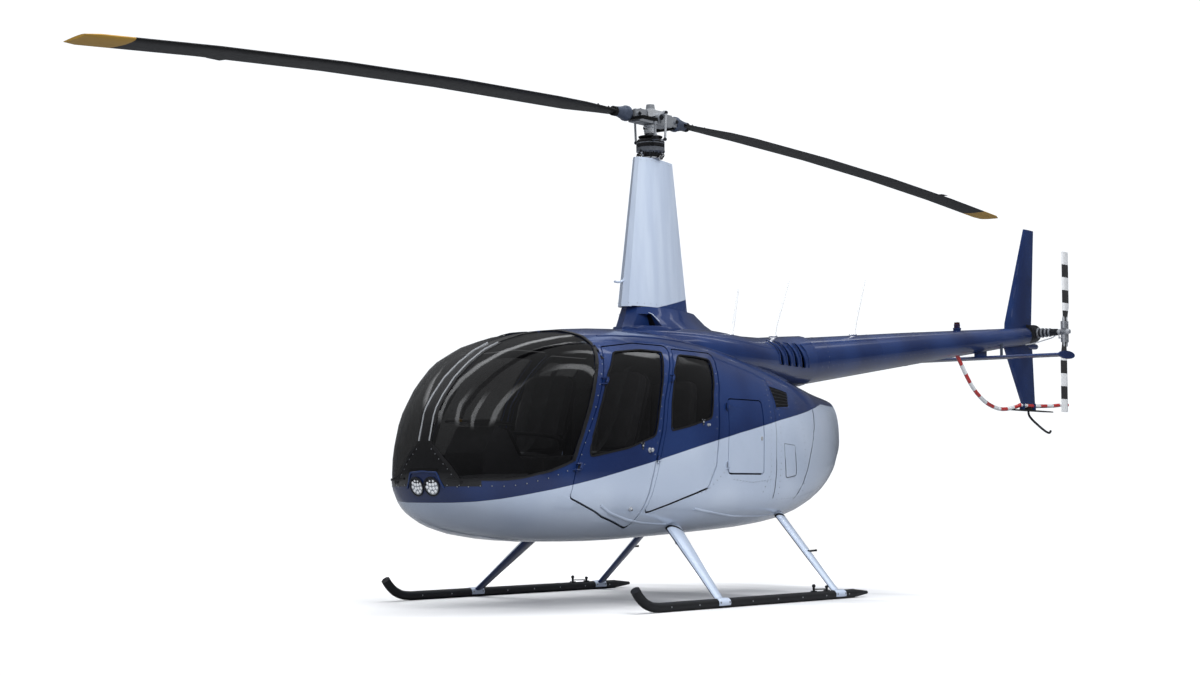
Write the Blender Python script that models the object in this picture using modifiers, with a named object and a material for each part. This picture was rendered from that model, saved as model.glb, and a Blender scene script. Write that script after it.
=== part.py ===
"""A light turbine helicopter with five seats, two-blade rotors and skids. Metres, +Z up, ground at z = 0.

+X is the port side and -Y the nose. Every place below is measured from the main rotor's axis, at y = 0,
and the whole aircraft hangs on one empty that moves the origin to the middle of its length.
"""

import math

import bmesh
import bpy
import numpy as np
from mathutils import Matrix, Vector

for leftover in list(bpy.data.objects):
    bpy.data.objects.remove(leftover, do_unlink=True)

# Driving dimensions
ROTOR_RADIUS = 5.03
ROTOR_CHORD = 0.254
HUB_Z = 3.51
DROOP = 0.0095  # blades hang by this times the radius squared
TEETER = 0.005  # slope of the parked rotor, nose blade low
TAIL_RADIUS = 0.762
TAIL_CHORD = 0.13
TAIL_HUB = Vector((0.37, 5.873, 2.269))
SHAFT_RADIUS = 0.028
TAIL_SHAFT_RADIUS = 0.018
GUARD_END = 6.645
SKID_TRACK = 1.118  # half of it, from the centre line
SKID_RADIUS = 0.032
WALL = 0.020  # skin with its frames
PANE = 0.005
TOUCH = 0.0003  # between pieces that meet
DOOR_GAP = 0.008
SWING_GAP = 0.006  # more at the edge that swings
SILL_GAP = 0.004  # more below
INSIDE_GAP = 0.006  # between a door and what stands behind it
MIDDLE = (GUARD_END - ROTOR_RADIUS) / 2

# Fuselage sections: y, half width, top, bottom, height of the widest line, upper and lower roundness
POD = np.array((
    (-2.36, 0.000, 0.928, 0.928, 0.928, 2.0, 2.0),
    (-2.33, 0.240, 1.202, 0.721, 0.880, 2.0, 2.2),
    (-2.24, 0.402, 1.368, 0.613, 0.880, 2.25, 2.35),
    (-2.05, 0.553, 1.566, 0.520, 0.880, 2.65, 2.55),
    (-1.75, 0.684, 1.745, 0.460, 0.890, 3.05, 2.7),
    (-1.40, 0.732, 1.843, 0.433, 0.900, 3.25, 2.9),
    (-1.00, 0.735, 1.893, 0.429, 0.900, 3.35, 3.0),
    (-0.50, 0.733, 1.909, 0.443, 0.900, 3.35, 3.15),
    (0.00, 0.731, 1.868, 0.468, 0.900, 3.35, 3.3),
    (0.50, 0.711, 1.799, 0.494, 0.900, 3.15, 3.3),
    (1.00, 0.643, 1.716, 0.538, 0.930, 2.95, 3.1),
    (1.50, 0.507, 1.627, 0.632, 0.980, 2.7, 2.65),
    (1.95, 0.325, 1.550, 0.779, 1.050, 2.55, 2.2),
    (2.20, 0.190, 1.519, 0.918, 1.120, 2.45, 1.95),
    (2.32, 0.120, 1.492, 0.967, 1.180, 2.35, 1.9),
    (2.36, 0.000, 1.200, 1.200, 1.200, 2.0, 2.0),
))
POD_END = 2.36
POD_RINGS = 28
POD_AROUND = 40
SPLIT_Y = 0.50  # joint between cabin and engine bay

# Tailcone: y, bottom, top
CONE = np.array(((1.80, 1.601, 1.989), (3.49, 1.839, 2.134), (5.29, 2.091, 2.279), (5.76, 2.150, 2.322)))

# Side outlines, as (y, z)
FRONT_DOOR = (
    (-1.24, 1.728), (-1.40, 1.435), (-1.53, 1.20), (-1.66, 0.94), (-1.70, 0.735), (-1.36, 0.612),
    (-1.03, 0.530), (-0.905, 0.914), (-0.81, 1.18), (-0.76, 1.389), (-0.66, 1.57), (-0.53, 1.772),
    (-0.90, 1.772),
)
REAR_DOOR = (
    (-0.49, 1.752), (-0.61, 1.57), (-0.71, 1.389), (-0.76, 1.18), (-0.85, 0.914), (-0.955, 0.625),
    (-0.29, 0.800), (-0.195, 0.954), (-0.165, 1.13), (-0.13, 1.41), (-0.055, 1.63), (0.005, 1.748),
)
BAGGAGE_DOOR = ((-0.05, 0.90), (0.40, 0.90), (0.43, 1.42), (-0.01, 1.42))
FRONT_WINDOW = (
    (-1.16, 1.700), (-1.31, 1.537), (-1.447, 1.300), (-1.53, 1.105), (-1.55, 0.995), (-1.16, 1.060),
    (-0.875, 1.145), (-0.80, 1.389), (-0.70, 1.610), (-0.635, 1.728), (-0.86, 1.732),
)
REAR_WINDOW = (
    (-0.455, 1.716), (-0.575, 1.603), (-0.672, 1.392), (-0.705, 1.180), (-0.49, 1.219), (-0.227, 1.281),
    (-0.18, 1.450), (-0.125, 1.590), (-0.085, 1.700), (-0.24, 1.714),
)
WINDSHIELD = (
    (-2.50, 0.858), (-2.245, 0.850), (-2.047, 0.857), (-1.897, 0.895), (-1.758, 0.940), (-1.69, 0.970),
    (-1.60, 1.165), (-1.46, 1.465), (-1.355, 1.637), (-1.295, 1.745), (-1.295, 2.00), (-2.50, 2.00),
)
BOW_HALF_WIDTH = 0.045
NOSE_FRAME = ((-0.30, 0.80), (0.30, 0.80), (BOW_HALF_WIDTH, 1.10), (-BOW_HALF_WIDTH, 1.10))  # x, z

# Hinge lines on the port side: upper and lower end
FRONT_HINGE = (Vector((0.705, -1.335, 1.542)), Vector((0.745, -1.690, 0.883)))
REAR_HINGE = (Vector((0.700, -0.625, 1.588)), Vector((0.745, -0.875, 0.941)))
BAGGAGE_HINGE = (Vector((0.720, -0.040, 1.40)), Vector((0.748, -0.060, 0.92)))
HINGE_SPOTS = (0.07, 0.93)  # along the line
PIN_RADIUS = 0.005
PIN_HALF = 0.027
ARM_SPOT = 0.0235  # fixed arms, from the knuckle's middle
ARM_WIDTH = 0.007
KNUCKLE_RADIUS = 0.010
KNUCKLE_HALF = 0.015
LEAF_THICK = 0.008
RECESS_GAP = 0.005
RUN = 0.0006  # between a pin or shaft and its bore

PARTS = bpy.data.collections.new("helicopter")
CUTTERS = bpy.data.collections.new("cutters")
for group in (PARTS, CUTTERS):
    bpy.context.scene.collection.children.link(group)


def empty(name, location=(0, 0, 0), parent=None):
    made = bpy.data.objects.new(name, None)
    made.empty_display_size = 0.2
    made.location = location
    made.parent = parent
    PARTS.objects.link(made)
    return made


DATUM = empty("rotor_axis_datum", (0, -MIDDLE, 0))


def paint(name, colour, roughness=0.4, metallic=0.0):
    material = bpy.data.materials.new(name)
    material.use_nodes = True
    shader = material.node_tree.nodes["Principled BSDF"]
    shader.inputs["Base Color"].default_value = (*colour, 1.0)
    shader.inputs["Roughness"].default_value = roughness
    shader.inputs["Metallic"].default_value = metallic
    material.diffuse_color = (*colour, 1.0)
    return material


NAVY = paint("navy_paint", (0.03, 0.06, 0.14), 0.2)
PALE = paint("pale_blue_paint", (0.45, 0.53, 0.66), 0.25)
BLACK = paint("black_coating", (0.02, 0.02, 0.022), 0.45)
TINTED = paint("tinted_window", (0.02, 0.025, 0.03), 0.08)
METAL = paint("bare_metal", (0.55, 0.56, 0.58), 0.3, 1.0)
RED = paint("red_marking", (0.65, 0.04, 0.03), 0.35)
WHITE = paint("white_marking", (0.85, 0.85, 0.84), 0.35)
TRIM = paint("cabin_trim", (0.10, 0.10, 0.11), 0.7)
HIDE = paint("seat_leather", (0.05, 0.05, 0.055), 0.55)
LAMP = paint("lamp_glass", (0.80, 0.82, 0.85), 0.1)
STEEL = paint("exhaust_steel", (0.35, 0.30, 0.27), 0.5, 1.0)


# Building helpers

def place(name, mesh, material=None, cutter=False, parent=DATUM):
    """Put a mesh in the scene: a part with its material, or a hidden cutter."""
    made = bpy.data.objects.new(name, mesh)
    made.parent = parent
    if cutter:
        CUTTERS.objects.link(made)
        made.hide_render = True
        made.display_type = "WIRE"
    else:
        PARTS.objects.link(made)
        mesh.materials.clear()
        mesh.materials.append(material)
    return made


def mesh_of(bm, name):
    mesh = bpy.data.meshes.new(name)
    bm.to_mesh(mesh)
    bm.free()
    return mesh


def add_loft(bm, rings, inward=False):
    """Skin a row of rings. A ring of one point is a tip, and an open end gets a flat cap."""
    rows = [[bm.verts.new(point) for point in ring] for ring in rings]
    faces = []
    for near, far in zip(rows, rows[1:]):
        count = max(len(near), len(far))
        for i in range(count):
            j = (i + 1) % count
            corners = (near[i % len(near)], near[j % len(near)], far[j % len(far)], far[i % len(far)])
            faces.append(bm.faces.new(list(dict.fromkeys(corners))))
    for end in (rows[0], rows[-1]):
        if len(end) > 2:
            faces.append(bm.faces.new(end))
    bmesh.ops.recalc_face_normals(bm, faces=faces)
    if inward:
        bmesh.ops.reverse_faces(bm, faces=faces)


def loft(name, rings, material=None, inner=None, **options):
    """A lofted solid, or a wall where a second row of rings gives its inner face."""
    bm = bmesh.new()
    add_loft(bm, rings)
    if inner is not None:
        add_loft(bm, inner, inward=True)
    made = place(name, mesh_of(bm, name), material, **options)
    made.data.shade_smooth()
    made.data.set_sharp_from_angle(angle=math.radians(35))
    return made


def prism(name, outline, near, far, axis="X", material=None, cutter=True):
    """A flat outline pushed along an axis. Along X it is (y, z), along Y (x, z), along Z (x, y)."""
    order = {"X": (2, 0, 1), "Y": (0, 2, 1), "Z": (0, 1, 2)}[axis]
    rings = [[tuple((*point, end)[k] for k in order) for point in outline] for end in (near, far)]
    bm = bmesh.new()
    add_loft(bm, rings)
    return place(name, mesh_of(bm, name), material, cutter)


def box(name, low, high, material=None, cutter=False):
    bm = bmesh.new()
    middle = (Vector(low) + Vector(high)) / 2
    size = Vector(high) - Vector(low)
    bmesh.ops.create_cube(bm, size=1, matrix=Matrix.Translation(middle) @ Matrix.Diagonal((*size, 1)))
    return place(name, mesh_of(bm, name), material, cutter)


def beam(name, start, end, wide, width, thickness, material=None, cutter=False):
    """A flat bar between two points, its width along a chosen direction."""
    length = end - start
    wide = (wide - wide.project(length)).normalized()
    turn = Matrix((length.normalized(), wide, length.normalized().cross(wide))).transposed().to_4x4()
    size = Matrix.Diagonal((length.length, width, thickness, 1))
    bm = bmesh.new()
    bmesh.ops.create_cube(bm, size=1, matrix=Matrix.Translation((start + end) / 2) @ turn @ size)
    return place(name, mesh_of(bm, name), material, cutter)


def rod(name, start, end, radius, far_radius=None, material=None, cutter=False, segments=24):
    """A cylinder or cone between two points."""
    start, end = Vector(start), Vector(end)
    along = end - start
    turn = along.to_track_quat("Z", "Y").to_matrix().to_4x4()
    bm = bmesh.new()
    bmesh.ops.create_cone(
        bm, cap_ends=True, segments=segments, radius1=radius, radius2=far_radius or radius,
        depth=along.length, matrix=Matrix.Translation((start + end) / 2) @ turn,
    )
    made = place(name, mesh_of(bm, name), material, cutter)
    made.data.shade_smooth()
    made.data.set_sharp_from_angle(angle=math.radians(35))
    return made


def turned(name, profile, material, location, parent=DATUM, steps=32):
    """A profile of (radius, height) turned about a vertical axis through the location."""
    bm = bmesh.new()
    points = [bm.verts.new((radius, 0, height)) for radius, height in profile]
    closed = profile[0][0] > 0
    for a, b in zip(points, points[1:] + points[:1] if closed else points[1:]):
        bm.edges.new((a, b))
    made = place(name, mesh_of(bm, name), material, parent=parent)
    made.location = location
    screw = made.modifiers.new("Turn", "SCREW")
    screw.steps = screw.render_steps = steps
    screw.use_merge_vertices = True
    screw.merge_threshold = 0.00005
    screw.use_smooth_shade = True
    return made


def tube(name, points, radius, material=None, segments=12, **options):
    """A round tube along a path."""
    spots = [Vector(point) for point in points]
    side = Vector((1, 0, 0))
    rings = []
    for before, spot, after in zip(spots[:1] + spots[:-1], spots, spots[1:] + spots[-1:]):
        along = (after - before).normalized()
        up = along.cross(side).normalized()
        side = up.cross(along).normalized()
        rings.append([spot + radius * (math.cos(a) * side + math.sin(a) * up)
                      for a in np.linspace(0, 2 * np.pi, segments, endpoint=False)])
    return loft(name, rings, material, **options)


def combine(made, other, operation):
    modifier = made.modifiers.new(operation.title(), "BOOLEAN")
    modifier.operation = operation
    modifier.solver = "EXACT"
    modifier.object = other
    return made


def cut(made, *tools):
    for tool in tools:
        combine(made, tool, "DIFFERENCE")
    return made


def fuse(made, *others):
    """Join other solids into one. They stay behind as hidden helpers."""
    for other in others:
        combine(made, other, "UNION")
        other.hide_render = True
        other.display_type = "WIRE"
        PARTS.objects.unlink(other)
        CUTTERS.objects.link(other)
    return made


def hang(axis, *pieces):
    """Put pieces on an axis without moving them."""
    for piece in pieces:
        piece.parent = axis
        piece.matrix_parent_inverse = axis.matrix_basis.inverted()


def hinge_axis(name, low, high):
    """An empty whose Z runs up a door's hinge line."""
    axis = empty(name, low, DATUM)
    axis.rotation_mode = "QUATERNION"
    axis.rotation_quaternion = (high - low).to_track_quat("Z", "Y")
    return axis


def keep(made, tool):
    return combine(made, tool, "INTERSECT")


def copy_of(made, name, material):
    """Another object from the same mesh, before any cuts."""
    return place(name, made.data.copy(), material)


# Shapes that follow a rule

def monotone(knots, values, at):
    """A smooth curve through the table's rows that never swells between two of them."""
    step, rise = np.diff(knots), np.diff(values)
    slope = rise / step
    near, far = slope[:-1], slope[1:]
    safe = near * far > 0
    weight_near, weight_far = 2 * step[1:] + step[:-1], step[1:] + 2 * step[:-1]
    inner = np.zeros(len(near))
    inner[safe] = ((weight_near + weight_far)[safe]
                   / (weight_near[safe] / near[safe] + weight_far[safe] / far[safe]))

    def end_slope(h0, h1, m0, m1):
        slant = ((2 * h0 + h1) * m0 - h0 * m1) / (h0 + h1)
        if slant * m0 <= 0:
            return 0.0
        return 3 * m0 if m0 * m1 <= 0 and abs(slant) > 3 * abs(m0) else slant

    tangent = np.concatenate((
        [end_slope(step[0], step[1], slope[0], slope[1])], inner,
        [end_slope(step[-1], step[-2], slope[-1], slope[-2])],
    ))
    at = np.clip(at, knots[0], knots[-1])
    k = np.clip(np.searchsorted(knots, at, side="right") - 1, 0, len(step) - 1)
    t = (at - knots[k]) / step[k]
    return (values[k] * (1 + 2 * t) * (1 - t) ** 2 + tangent[k] * step[k] * t * (1 - t) ** 2
            + values[k + 1] * t * t * (3 - 2 * t) + tangent[k + 1] * step[k] * t * t * (t - 1))


def pod_points(stations, angles):
    """Points on the fuselage skin, one row a station."""
    width, top, bottom, middle, upper, lower = (
        monotone(POD[:, 0], POD[:, k], stations)[:, None] for k in range(1, 7)
    )
    cos, sin = np.cos(angles), np.sin(angles)
    power = np.where(sin >= 0, 2 / upper, 2 / lower)
    x = width * np.sign(cos) * np.abs(cos) ** power
    z = middle + np.where(sin >= 0, top - middle, middle - bottom) * np.sign(sin) * np.abs(sin) ** power
    return np.stack((x, np.repeat(stations[:, None], len(angles), 1), z), axis=2)


def skin_x(y, z):
    """Half width of the fuselage at one spot."""
    width, top, bottom, middle, upper, lower = (
        float(monotone(POD[:, 0], POD[:, k], np.array([y]))[0]) for k in range(1, 7)
    )
    reach, power = (top - middle, upper) if z > middle else (middle - bottom, lower)
    return width * (1 - (abs(z - middle) / reach) ** power) ** (1 / power)


def front_edge(outline, z):
    """Where an outline's forward edge lies at one height."""
    crossings = []
    for (y0, z0), (y1, z1) in zip(outline, outline[1:] + outline[:1]):
        if min(z0, z1) <= z < max(z0, z1):
            crossings.append(y0 + (y1 - y0) * (z - z0) / (z1 - z0))
    return min(crossings)


def pod_rings(inset):
    """The skin moved inwards by an amount, as rings from the nose tip to the tail tip."""
    stations = -POD_END * np.cos(np.pi * np.arange(POD_RINGS + 1) / POD_RINGS)
    angles = 2 * np.pi * np.arange(POD_AROUND) / POD_AROUND
    skin = pod_points(stations, angles)
    along = skin[2:] - skin[:-2]
    around = np.roll(skin, -1, axis=1)[1:-1] - np.roll(skin, 1, axis=1)[1:-1]
    normal = np.cross(along, around)
    normal /= np.linalg.norm(normal, axis=2)[:, :, None]
    rings = skin[1:-1] - inset * normal
    nose, tail = skin[0, :1] + (0, inset, 0), skin[-1, :1] - (0, inset, 0)
    return [nose, *rings, tail]


def grow(outline, distance):
    """An outline moved outwards by a distance, each corner along its mitre."""
    points = np.array(outline, float)
    before, after = np.roll(points, 1, axis=0), np.roll(points, -1, axis=0)
    area = np.sum(points[:, 0] * after[:, 1] - after[:, 0] * points[:, 1])
    normals = []
    for a, b in ((before, points), (points, after)):
        edge = b - a
        edge /= np.linalg.norm(edge, axis=1)[:, None]
        normals.append(np.stack((edge[:, 1], -edge[:, 0]), axis=1) * np.sign(area))
    mitre = normals[0] + normals[1]
    mitre /= np.sum(mitre * normals[0], axis=1)[:, None]
    return [tuple(point) for point in points + distance * mitre]


def rounded(outline, radius, steps=3):
    """An outline with its sharp corners cut back into short arcs."""
    points = [Vector(point) for point in outline]
    result = []
    for before, corner, after in zip(points[-1:] + points[:-1], points, points[1:] + points[:1]):
        to_before, to_after = (before - corner).normalized(), (after - corner).normalized()
        opening = to_before.angle(to_after)
        if opening > math.radians(150):
            result.append(tuple(corner))
            continue
        reach = min(radius / math.tan(opening / 2), (before - corner).length * 0.45,
                    (after - corner).length * 0.45)
        start, end = corner + to_before * reach, corner + to_after * reach
        for k in range(steps + 1):
            t = k / steps
            result.append(tuple(start * (1 - t) ** 2 + corner * 2 * t * (1 - t) + end * t * t))
    return result


def airfoil(chord, thickness, count=9, edge=0.003):
    """A symmetric section with its nose at 0: (distance along the chord, side) pairs, closed by a blunt edge."""
    u = (1 - np.cos(np.pi * np.arange(count + 1) / count)) / 2
    half = 5 * thickness * chord * (
        0.2969 * np.sqrt(u) - 0.1260 * u - 0.3516 * u ** 2 + 0.2843 * u ** 3 - 0.1036 * u ** 4
    ) + edge / 2 * u
    upper = list(zip(u * chord, half))
    lower = [(along, -side) for along, side in upper[1:]]
    return upper[::-1] + lower


def through(points, steps=6):
    """A smooth path through chosen points, with a few more between each two."""
    spots = [Vector(point) for point in points]
    spots = [2 * spots[0] - spots[1], *spots, 2 * spots[-1] - spots[-2]]
    path = []
    for a, b, c, d in zip(spots, spots[1:], spots[2:], spots[3:]):
        for k in range(steps):
            t = k / steps
            path.append(0.5 * (2 * b + (c - a) * t + (2 * a - 5 * b + 4 * c - d) * t ** 2
                               + (3 * b - a - 3 * c + d) * t ** 3))
    return path + [spots[-2]]


def ring(centre_y, centre_z, half_width, half_height, power=2.0, count=32):
    """An upright rounded ring across the aircraft."""
    angles = 2 * np.pi * (np.arange(count) + 0.5) / count
    cos, sin = np.cos(angles), np.sin(angles)
    return [
        (half_width * np.sign(c) * abs(c) ** (2 / power), centre_y,
         centre_z + half_height * np.sign(s) * abs(s) ** (2 / power))
        for c, s in zip(cos, sin)
    ]


def cone_rings(extra, start=CONE[0, 0], end=CONE[-1, 0]):
    """The tailcone's round sections, grown by an amount."""
    stations = [start, *(y for y in CONE[:, 0] if start < y < end), end]
    rings = []
    for y in stations:
        bottom = np.interp(y, CONE[:, 0], CONE[:, 1])
        top = np.interp(y, CONE[:, 0], CONE[:, 2])
        radius = (top - bottom) / 2 + extra
        rings.append(ring(y, (top + bottom) / 2, radius, radius))
    return rings


def antenna(name, y, root, height, back):
    """A raked whip with a flared foot."""
    rows = ((-0.03, 0.05, 0.0), (0.006, 0.05, 0.0), (0.03, 0.022, 0.012), (0.10, 0.014, 0.045), (height, 0.007, back))
    rings = [[(radius * 0.5 * math.sin(a), y + shift - radius * 1.0 * math.cos(a), root + rise)
              for a in np.linspace(0, 2 * np.pi, 12, endpoint=False)] for rise, radius, shift in rows]
    return loft(name, rings, WHITE)


# Fuselage

SKIN = pod_rings(0)
POD_SPACE = loft("pod_space", pod_rings(-TOUCH), cutter=True)
POD_INSIDE = loft("pod_inside", pod_rings(WALL + TOUCH), cutter=True)
CONE_SPACE = loft("cone_space", cone_rings(TOUCH, start=1.79), cutter=True)


def fuselage():
    """The cabin shell, the engine bay shell, five doors and six panes, all cut from one skin."""
    cabin = loft("cabin_shell", SKIN, NAVY, inner=pod_rings(WALL))
    bay = copy_of(cabin, "engine_bay_shell", PALE)
    cut(cabin, box("aft_of_split", (-1, SPLIT_Y - TOUCH / 2, 0), (1, 3, 3), cutter=True))
    cut(bay, box("ahead_of_split", (-1, -3, 0), (1, SPLIT_Y + TOUCH / 2, 3), cutter=True))
    bow_frame = prism("nose_frame_wedge", NOSE_FRAME, -2.5, -2.2, axis="Y")

    def opening(name, outline, side):
        edge = grow(rounded(outline, 0.03), DOOR_GAP)
        rear, middle = np.mean(edge, axis=0)
        edge = [(y + SWING_GAP * (y > rear), z - SILL_GAP * (z < middle)) for y, z in edge]
        return prism(name, edge, side * 0.25, side * 1.0)

    def hinges(name, panel, outline, low, high, side):
        """Pins in two arms on the shell, and a knuckle on the door round each pin."""
        along = (high - low).normalized()
        for share in HINGE_SPOTS:
            spot = low.lerp(high, share)
            edge = front_edge(outline, spot.z)
            label = f"{name}_{share}"
            fixed_y, moving_y = edge - DOOR_GAP - 0.012, edge + 0.016
            fixed = Vector((side * (skin_x(fixed_y, spot.z) - 0.008), fixed_y, spot.z))
            moving = Vector((side * (skin_x(moving_y, spot.z) - 0.005), moving_y, spot.z))
            pin = rod(label + "_pin", spot - along * PIN_HALF, spot + along * PIN_HALF, PIN_RADIUS, material=NAVY,
                      segments=8)
            fuse(pin, *(beam(f"{label}_arm_{end}", spot + along * end * ARM_SPOT, fixed + along * end * ARM_SPOT,
                             along, ARM_WIDTH, 0.011, NAVY) for end in (-1, 1)))
            reach = along * (KNUCKLE_HALF + RECESS_GAP)
            cut(cabin, rod(label + "_recess", spot - reach, spot + reach, KNUCKLE_RADIUS + RECESS_GAP, cutter=True,
                           segments=12),
                beam(label + "_notch", spot, moving, along, 2 * (KNUCKLE_HALF + RECESS_GAP),
                     LEAF_THICK + 2 * RECESS_GAP, cutter=True))
            fuse(cabin, pin)
            knuckle = rod(label + "_knuckle", spot - along * KNUCKLE_HALF, spot + along * KNUCKLE_HALF,
                          KNUCKLE_RADIUS, material=NAVY, segments=12)
            fuse(knuckle, beam(label + "_leaf", spot, moving, along, 0.024, LEAF_THICK, NAVY))
            cut(knuckle, rod(label + "_bore", spot - along * 0.03, spot + along * 0.03, PIN_RADIUS + RUN,
                             cutter=True, segments=12))
            fuse(panel, knuckle)

    def door(name, outline, window, hinge, side):
        high, low = (Vector((side * end.x, end.y, end.z)) for end in hinge)
        axis = hinge_axis(name + "_axis", low, high)
        panel = copy_of(cabin, name, NAVY)
        hang(axis, panel)
        keep(panel, prism(name + "_edge", rounded(outline, 0.03), side * 0.26, side * 0.99))
        if window:
            glazed = rounded(window, 0.045)
            cut(panel, prism(name + "_window_hole", glazed, side * 0.25, side * 1.0))
            pane = loft(name.replace("door", "window"), pod_rings(0.004), TINTED, inner=pod_rings(0.004 + PANE))
            keep(pane, prism(name + "_pane_edge", grow(glazed, -TOUCH), side * 0.25, side * 1.0))
            hang(axis, pane)
        cut(cabin, opening(name + "_way", outline, side))
        hinges(name, panel, outline, low, high, side)

    for hand, side in (("left", 1), ("right", -1)):
        door("door_front_" + hand, FRONT_DOOR, FRONT_WINDOW, FRONT_HINGE, side)
        door("door_rear_" + hand, REAR_DOOR, REAR_WINDOW, REAR_HINGE, side)
        hole = prism("windshield_hole_" + hand, WINDSHIELD, side * BOW_HALF_WIDTH, side * 1.0)
        cut(hole, bow_frame)
        cut(cabin, hole)
        pane = loft("windshield_" + hand, pod_rings(0.004), TINTED, inner=pod_rings(0.004 + PANE))
        glass = prism("windshield_pane_" + hand, grow(WINDSHIELD, -TOUCH),
                      side * (BOW_HALF_WIDTH + TOUCH), side * 0.99)
        cut(glass, prism("nose_frame_seat_" + hand, grow(NOSE_FRAME, TOUCH), -2.5, -2.2, axis="Y"))
        keep(pane, glass)
    door("baggage_door", BAGGAGE_DOOR, None, BAGGAGE_HINGE, 1)

    for hand, side in (("left", 1), ("right", -1)):
        spot = Vector((side * 0.067, -2.36, 0.803))
        lamp = rod("landing_light_" + hand, spot, spot + Vector((0, 0.07, 0)), 0.058, material=LAMP)
        cut(cabin, rod("light_seat_" + hand, spot - Vector((0, 0.1, 0)), spot + Vector((0, 0.1, 0)),
                       0.058 + TOUCH, cutter=True))
        keep(lamp, POD_SPACE)
    return cabin, bay


CABIN, BAY = fuselage()

# Cabin and engine bay
FLOOR_Z = 0.60
FLOOR_THICK = 0.020
BAGGAGE_FLOOR_Z = 0.632
FIREWALL_Y = 0.47
FIREWALL_THICK = 0.012


def inside():
    """What shows through the glass or carries the engine."""
    deck = box("cabin_floor", (-0.8, -2.15, FLOOR_Z), (0.8, FIREWALL_Y - TOUCH, FLOOR_Z + FLOOR_THICK), TRIM)
    fuse(deck, box("baggage_panel", (-0.50, -0.08, FLOOR_Z), (0.50, FIREWALL_Y - 0.03, BAGGAGE_FLOOR_Z), TRIM))
    keep(deck, POD_INSIDE)
    for side in (1, -1):
        cut(deck, prism(f"deck_notch_{side}", grow(FRONT_DOOR, INSIDE_GAP), side * 0.61, side))
    wall = box("firewall", (-0.8, FIREWALL_Y, 0.3), (0.8, FIREWALL_Y + FIREWALL_THICK, 2.0), METAL)
    keep(wall, POD_INSIDE)
    back = box("baggage_bulkhead", (-0.8, -0.13, FLOOR_Z + FLOOR_THICK + TOUCH), (0.8, -0.11, 2.0), TRIM)
    keep(back, loft("bulkhead_space", pod_rings(WALL + INSIDE_GAP), cutter=True))

    top = FLOOR_Z + FLOOR_THICK + TOUCH
    side_view = (
        (-1.36, top), (-0.86, top), (-0.66, 1.60), (-0.74, 1.62), (-0.93, 1.02), (-1.33, 1.06), (-1.38, 0.98),
    )
    for hand, side in (("left", 1), ("right", -1)):
        seat = prism("seat_front_" + hand, rounded(side_view, 0.03), side * 0.09, side * 0.57, cutter=False,
                     material=HIDE)
        keep(seat, POD_INSIDE)
    bench_view = (
        (-0.60, top), (-0.14, top), (-0.14, 1.55), (-0.24, 1.56), (-0.28, 1.02), (-0.58, 1.05), (-0.63, 0.98),
    )
    bench = prism("seat_rear_bench", rounded(bench_view, 0.03), -0.60, 0.60, cutter=False, material=HIDE)
    keep(bench, POD_INSIDE)

    console_view = ((-1.98, top), (-1.48, top), (-1.52, 0.86), (-1.74, 1.17), (-1.86, 1.20), (-1.98, 1.02))
    prism("instrument_console", rounded(console_view, 0.02), -0.17, 0.17, cutter=False, material=TRIM)

    stick = tube("cyclic_stick", [(0, -1.40, top), *through((
        (0, -1.40, top + 0.03), (0, -1.47, 0.80), (0, -1.50, 1.00), (0, -1.48, 1.16)), 4)], 0.016, BLACK)
    bar = tube("cyclic_bar", through(((-0.36, -1.41, 1.09), (-0.33, -1.46, 1.13), (0, -1.48, 1.16),
                                      (0.33, -1.46, 1.13), (0.36, -1.41, 1.09)), 4), 0.014, BLACK)
    fuse(stick, bar)

    engine_low, engine_high = (-0.22, FIREWALL_Y + FIREWALL_THICK + TOUCH, 0.78), (0.22, 1.28, 1.22)
    box("engine_block", engine_low, engine_high, METAL)
    start, end = Vector((0, 1.10, 1.10)), Vector((0, 1.98, 0.50))
    pipe = rod("exhaust_pipe", start, end, 0.085, material=STEEL)
    cut(pipe, rod("exhaust_bore", start - (end - start), end + (end - start), 0.077, cutter=True))
    cut(pipe, box("engine_space", Vector(engine_low) - Vector((0, 0, 0.3)),
                  Vector(engine_high) + Vector((0.1, TOUCH, 0.3)), cutter=True))
    keep(pipe, loft("pod_flush", pod_rings(0.001), cutter=True))
    cut(BAY, rod("exhaust_way", start, end + (end - start), 0.085 + TOUCH, cutter=True))


inside()

# Cowl over the gearbox and aft roof: y, half width, top, middle, roundness
COWL = (
    (-0.42, 0.12, 1.925, 1.80, 2.2), (-0.25, 0.28, 1.950, 1.80, 2.4), (0.10, 0.38, 1.970, 1.80, 2.5),
    (0.50, 0.42, 1.975, 1.78, 2.5), (0.90, 0.38, 1.955, 1.78, 2.4), (1.30, 0.29, 1.965, 1.78, 2.2),
    (1.65, 0.225, 1.995, 1.79, 2.05), (1.90, 0.204, 2.014, 1.810, 2.0),
)
COWL_WALL = 0.012
# Raised base under the mast: height, nose y, tail y, thickness to chord
BASE = ((1.80, -0.37, 0.95, 0.42), (1.95, -0.335, 0.85, 0.40), (2.02, -0.30, 0.66, 0.38), (2.098, -0.275, 0.52, 0.37))
# Air intake pocket on each side of the base: height and aft lip y, then its floor's front and aft x
INTAKE = ((1.957, -0.130), (2.045, -0.165))
INTAKE_FRONT = (0.080, -0.31)
INTAKE_AFT_X = 0.095
# Mast fairing: height, nose y, tail y
FAIRING = ((2.0985, -0.346, 0.440), (2.65, -0.265, 0.350), (3.205, -0.183, 0.260))


def upright_section(height, nose, tail, thickness):
    return [(side, nose + along, height) for along, side in airfoil(tail - nose, thickness)]


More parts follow.
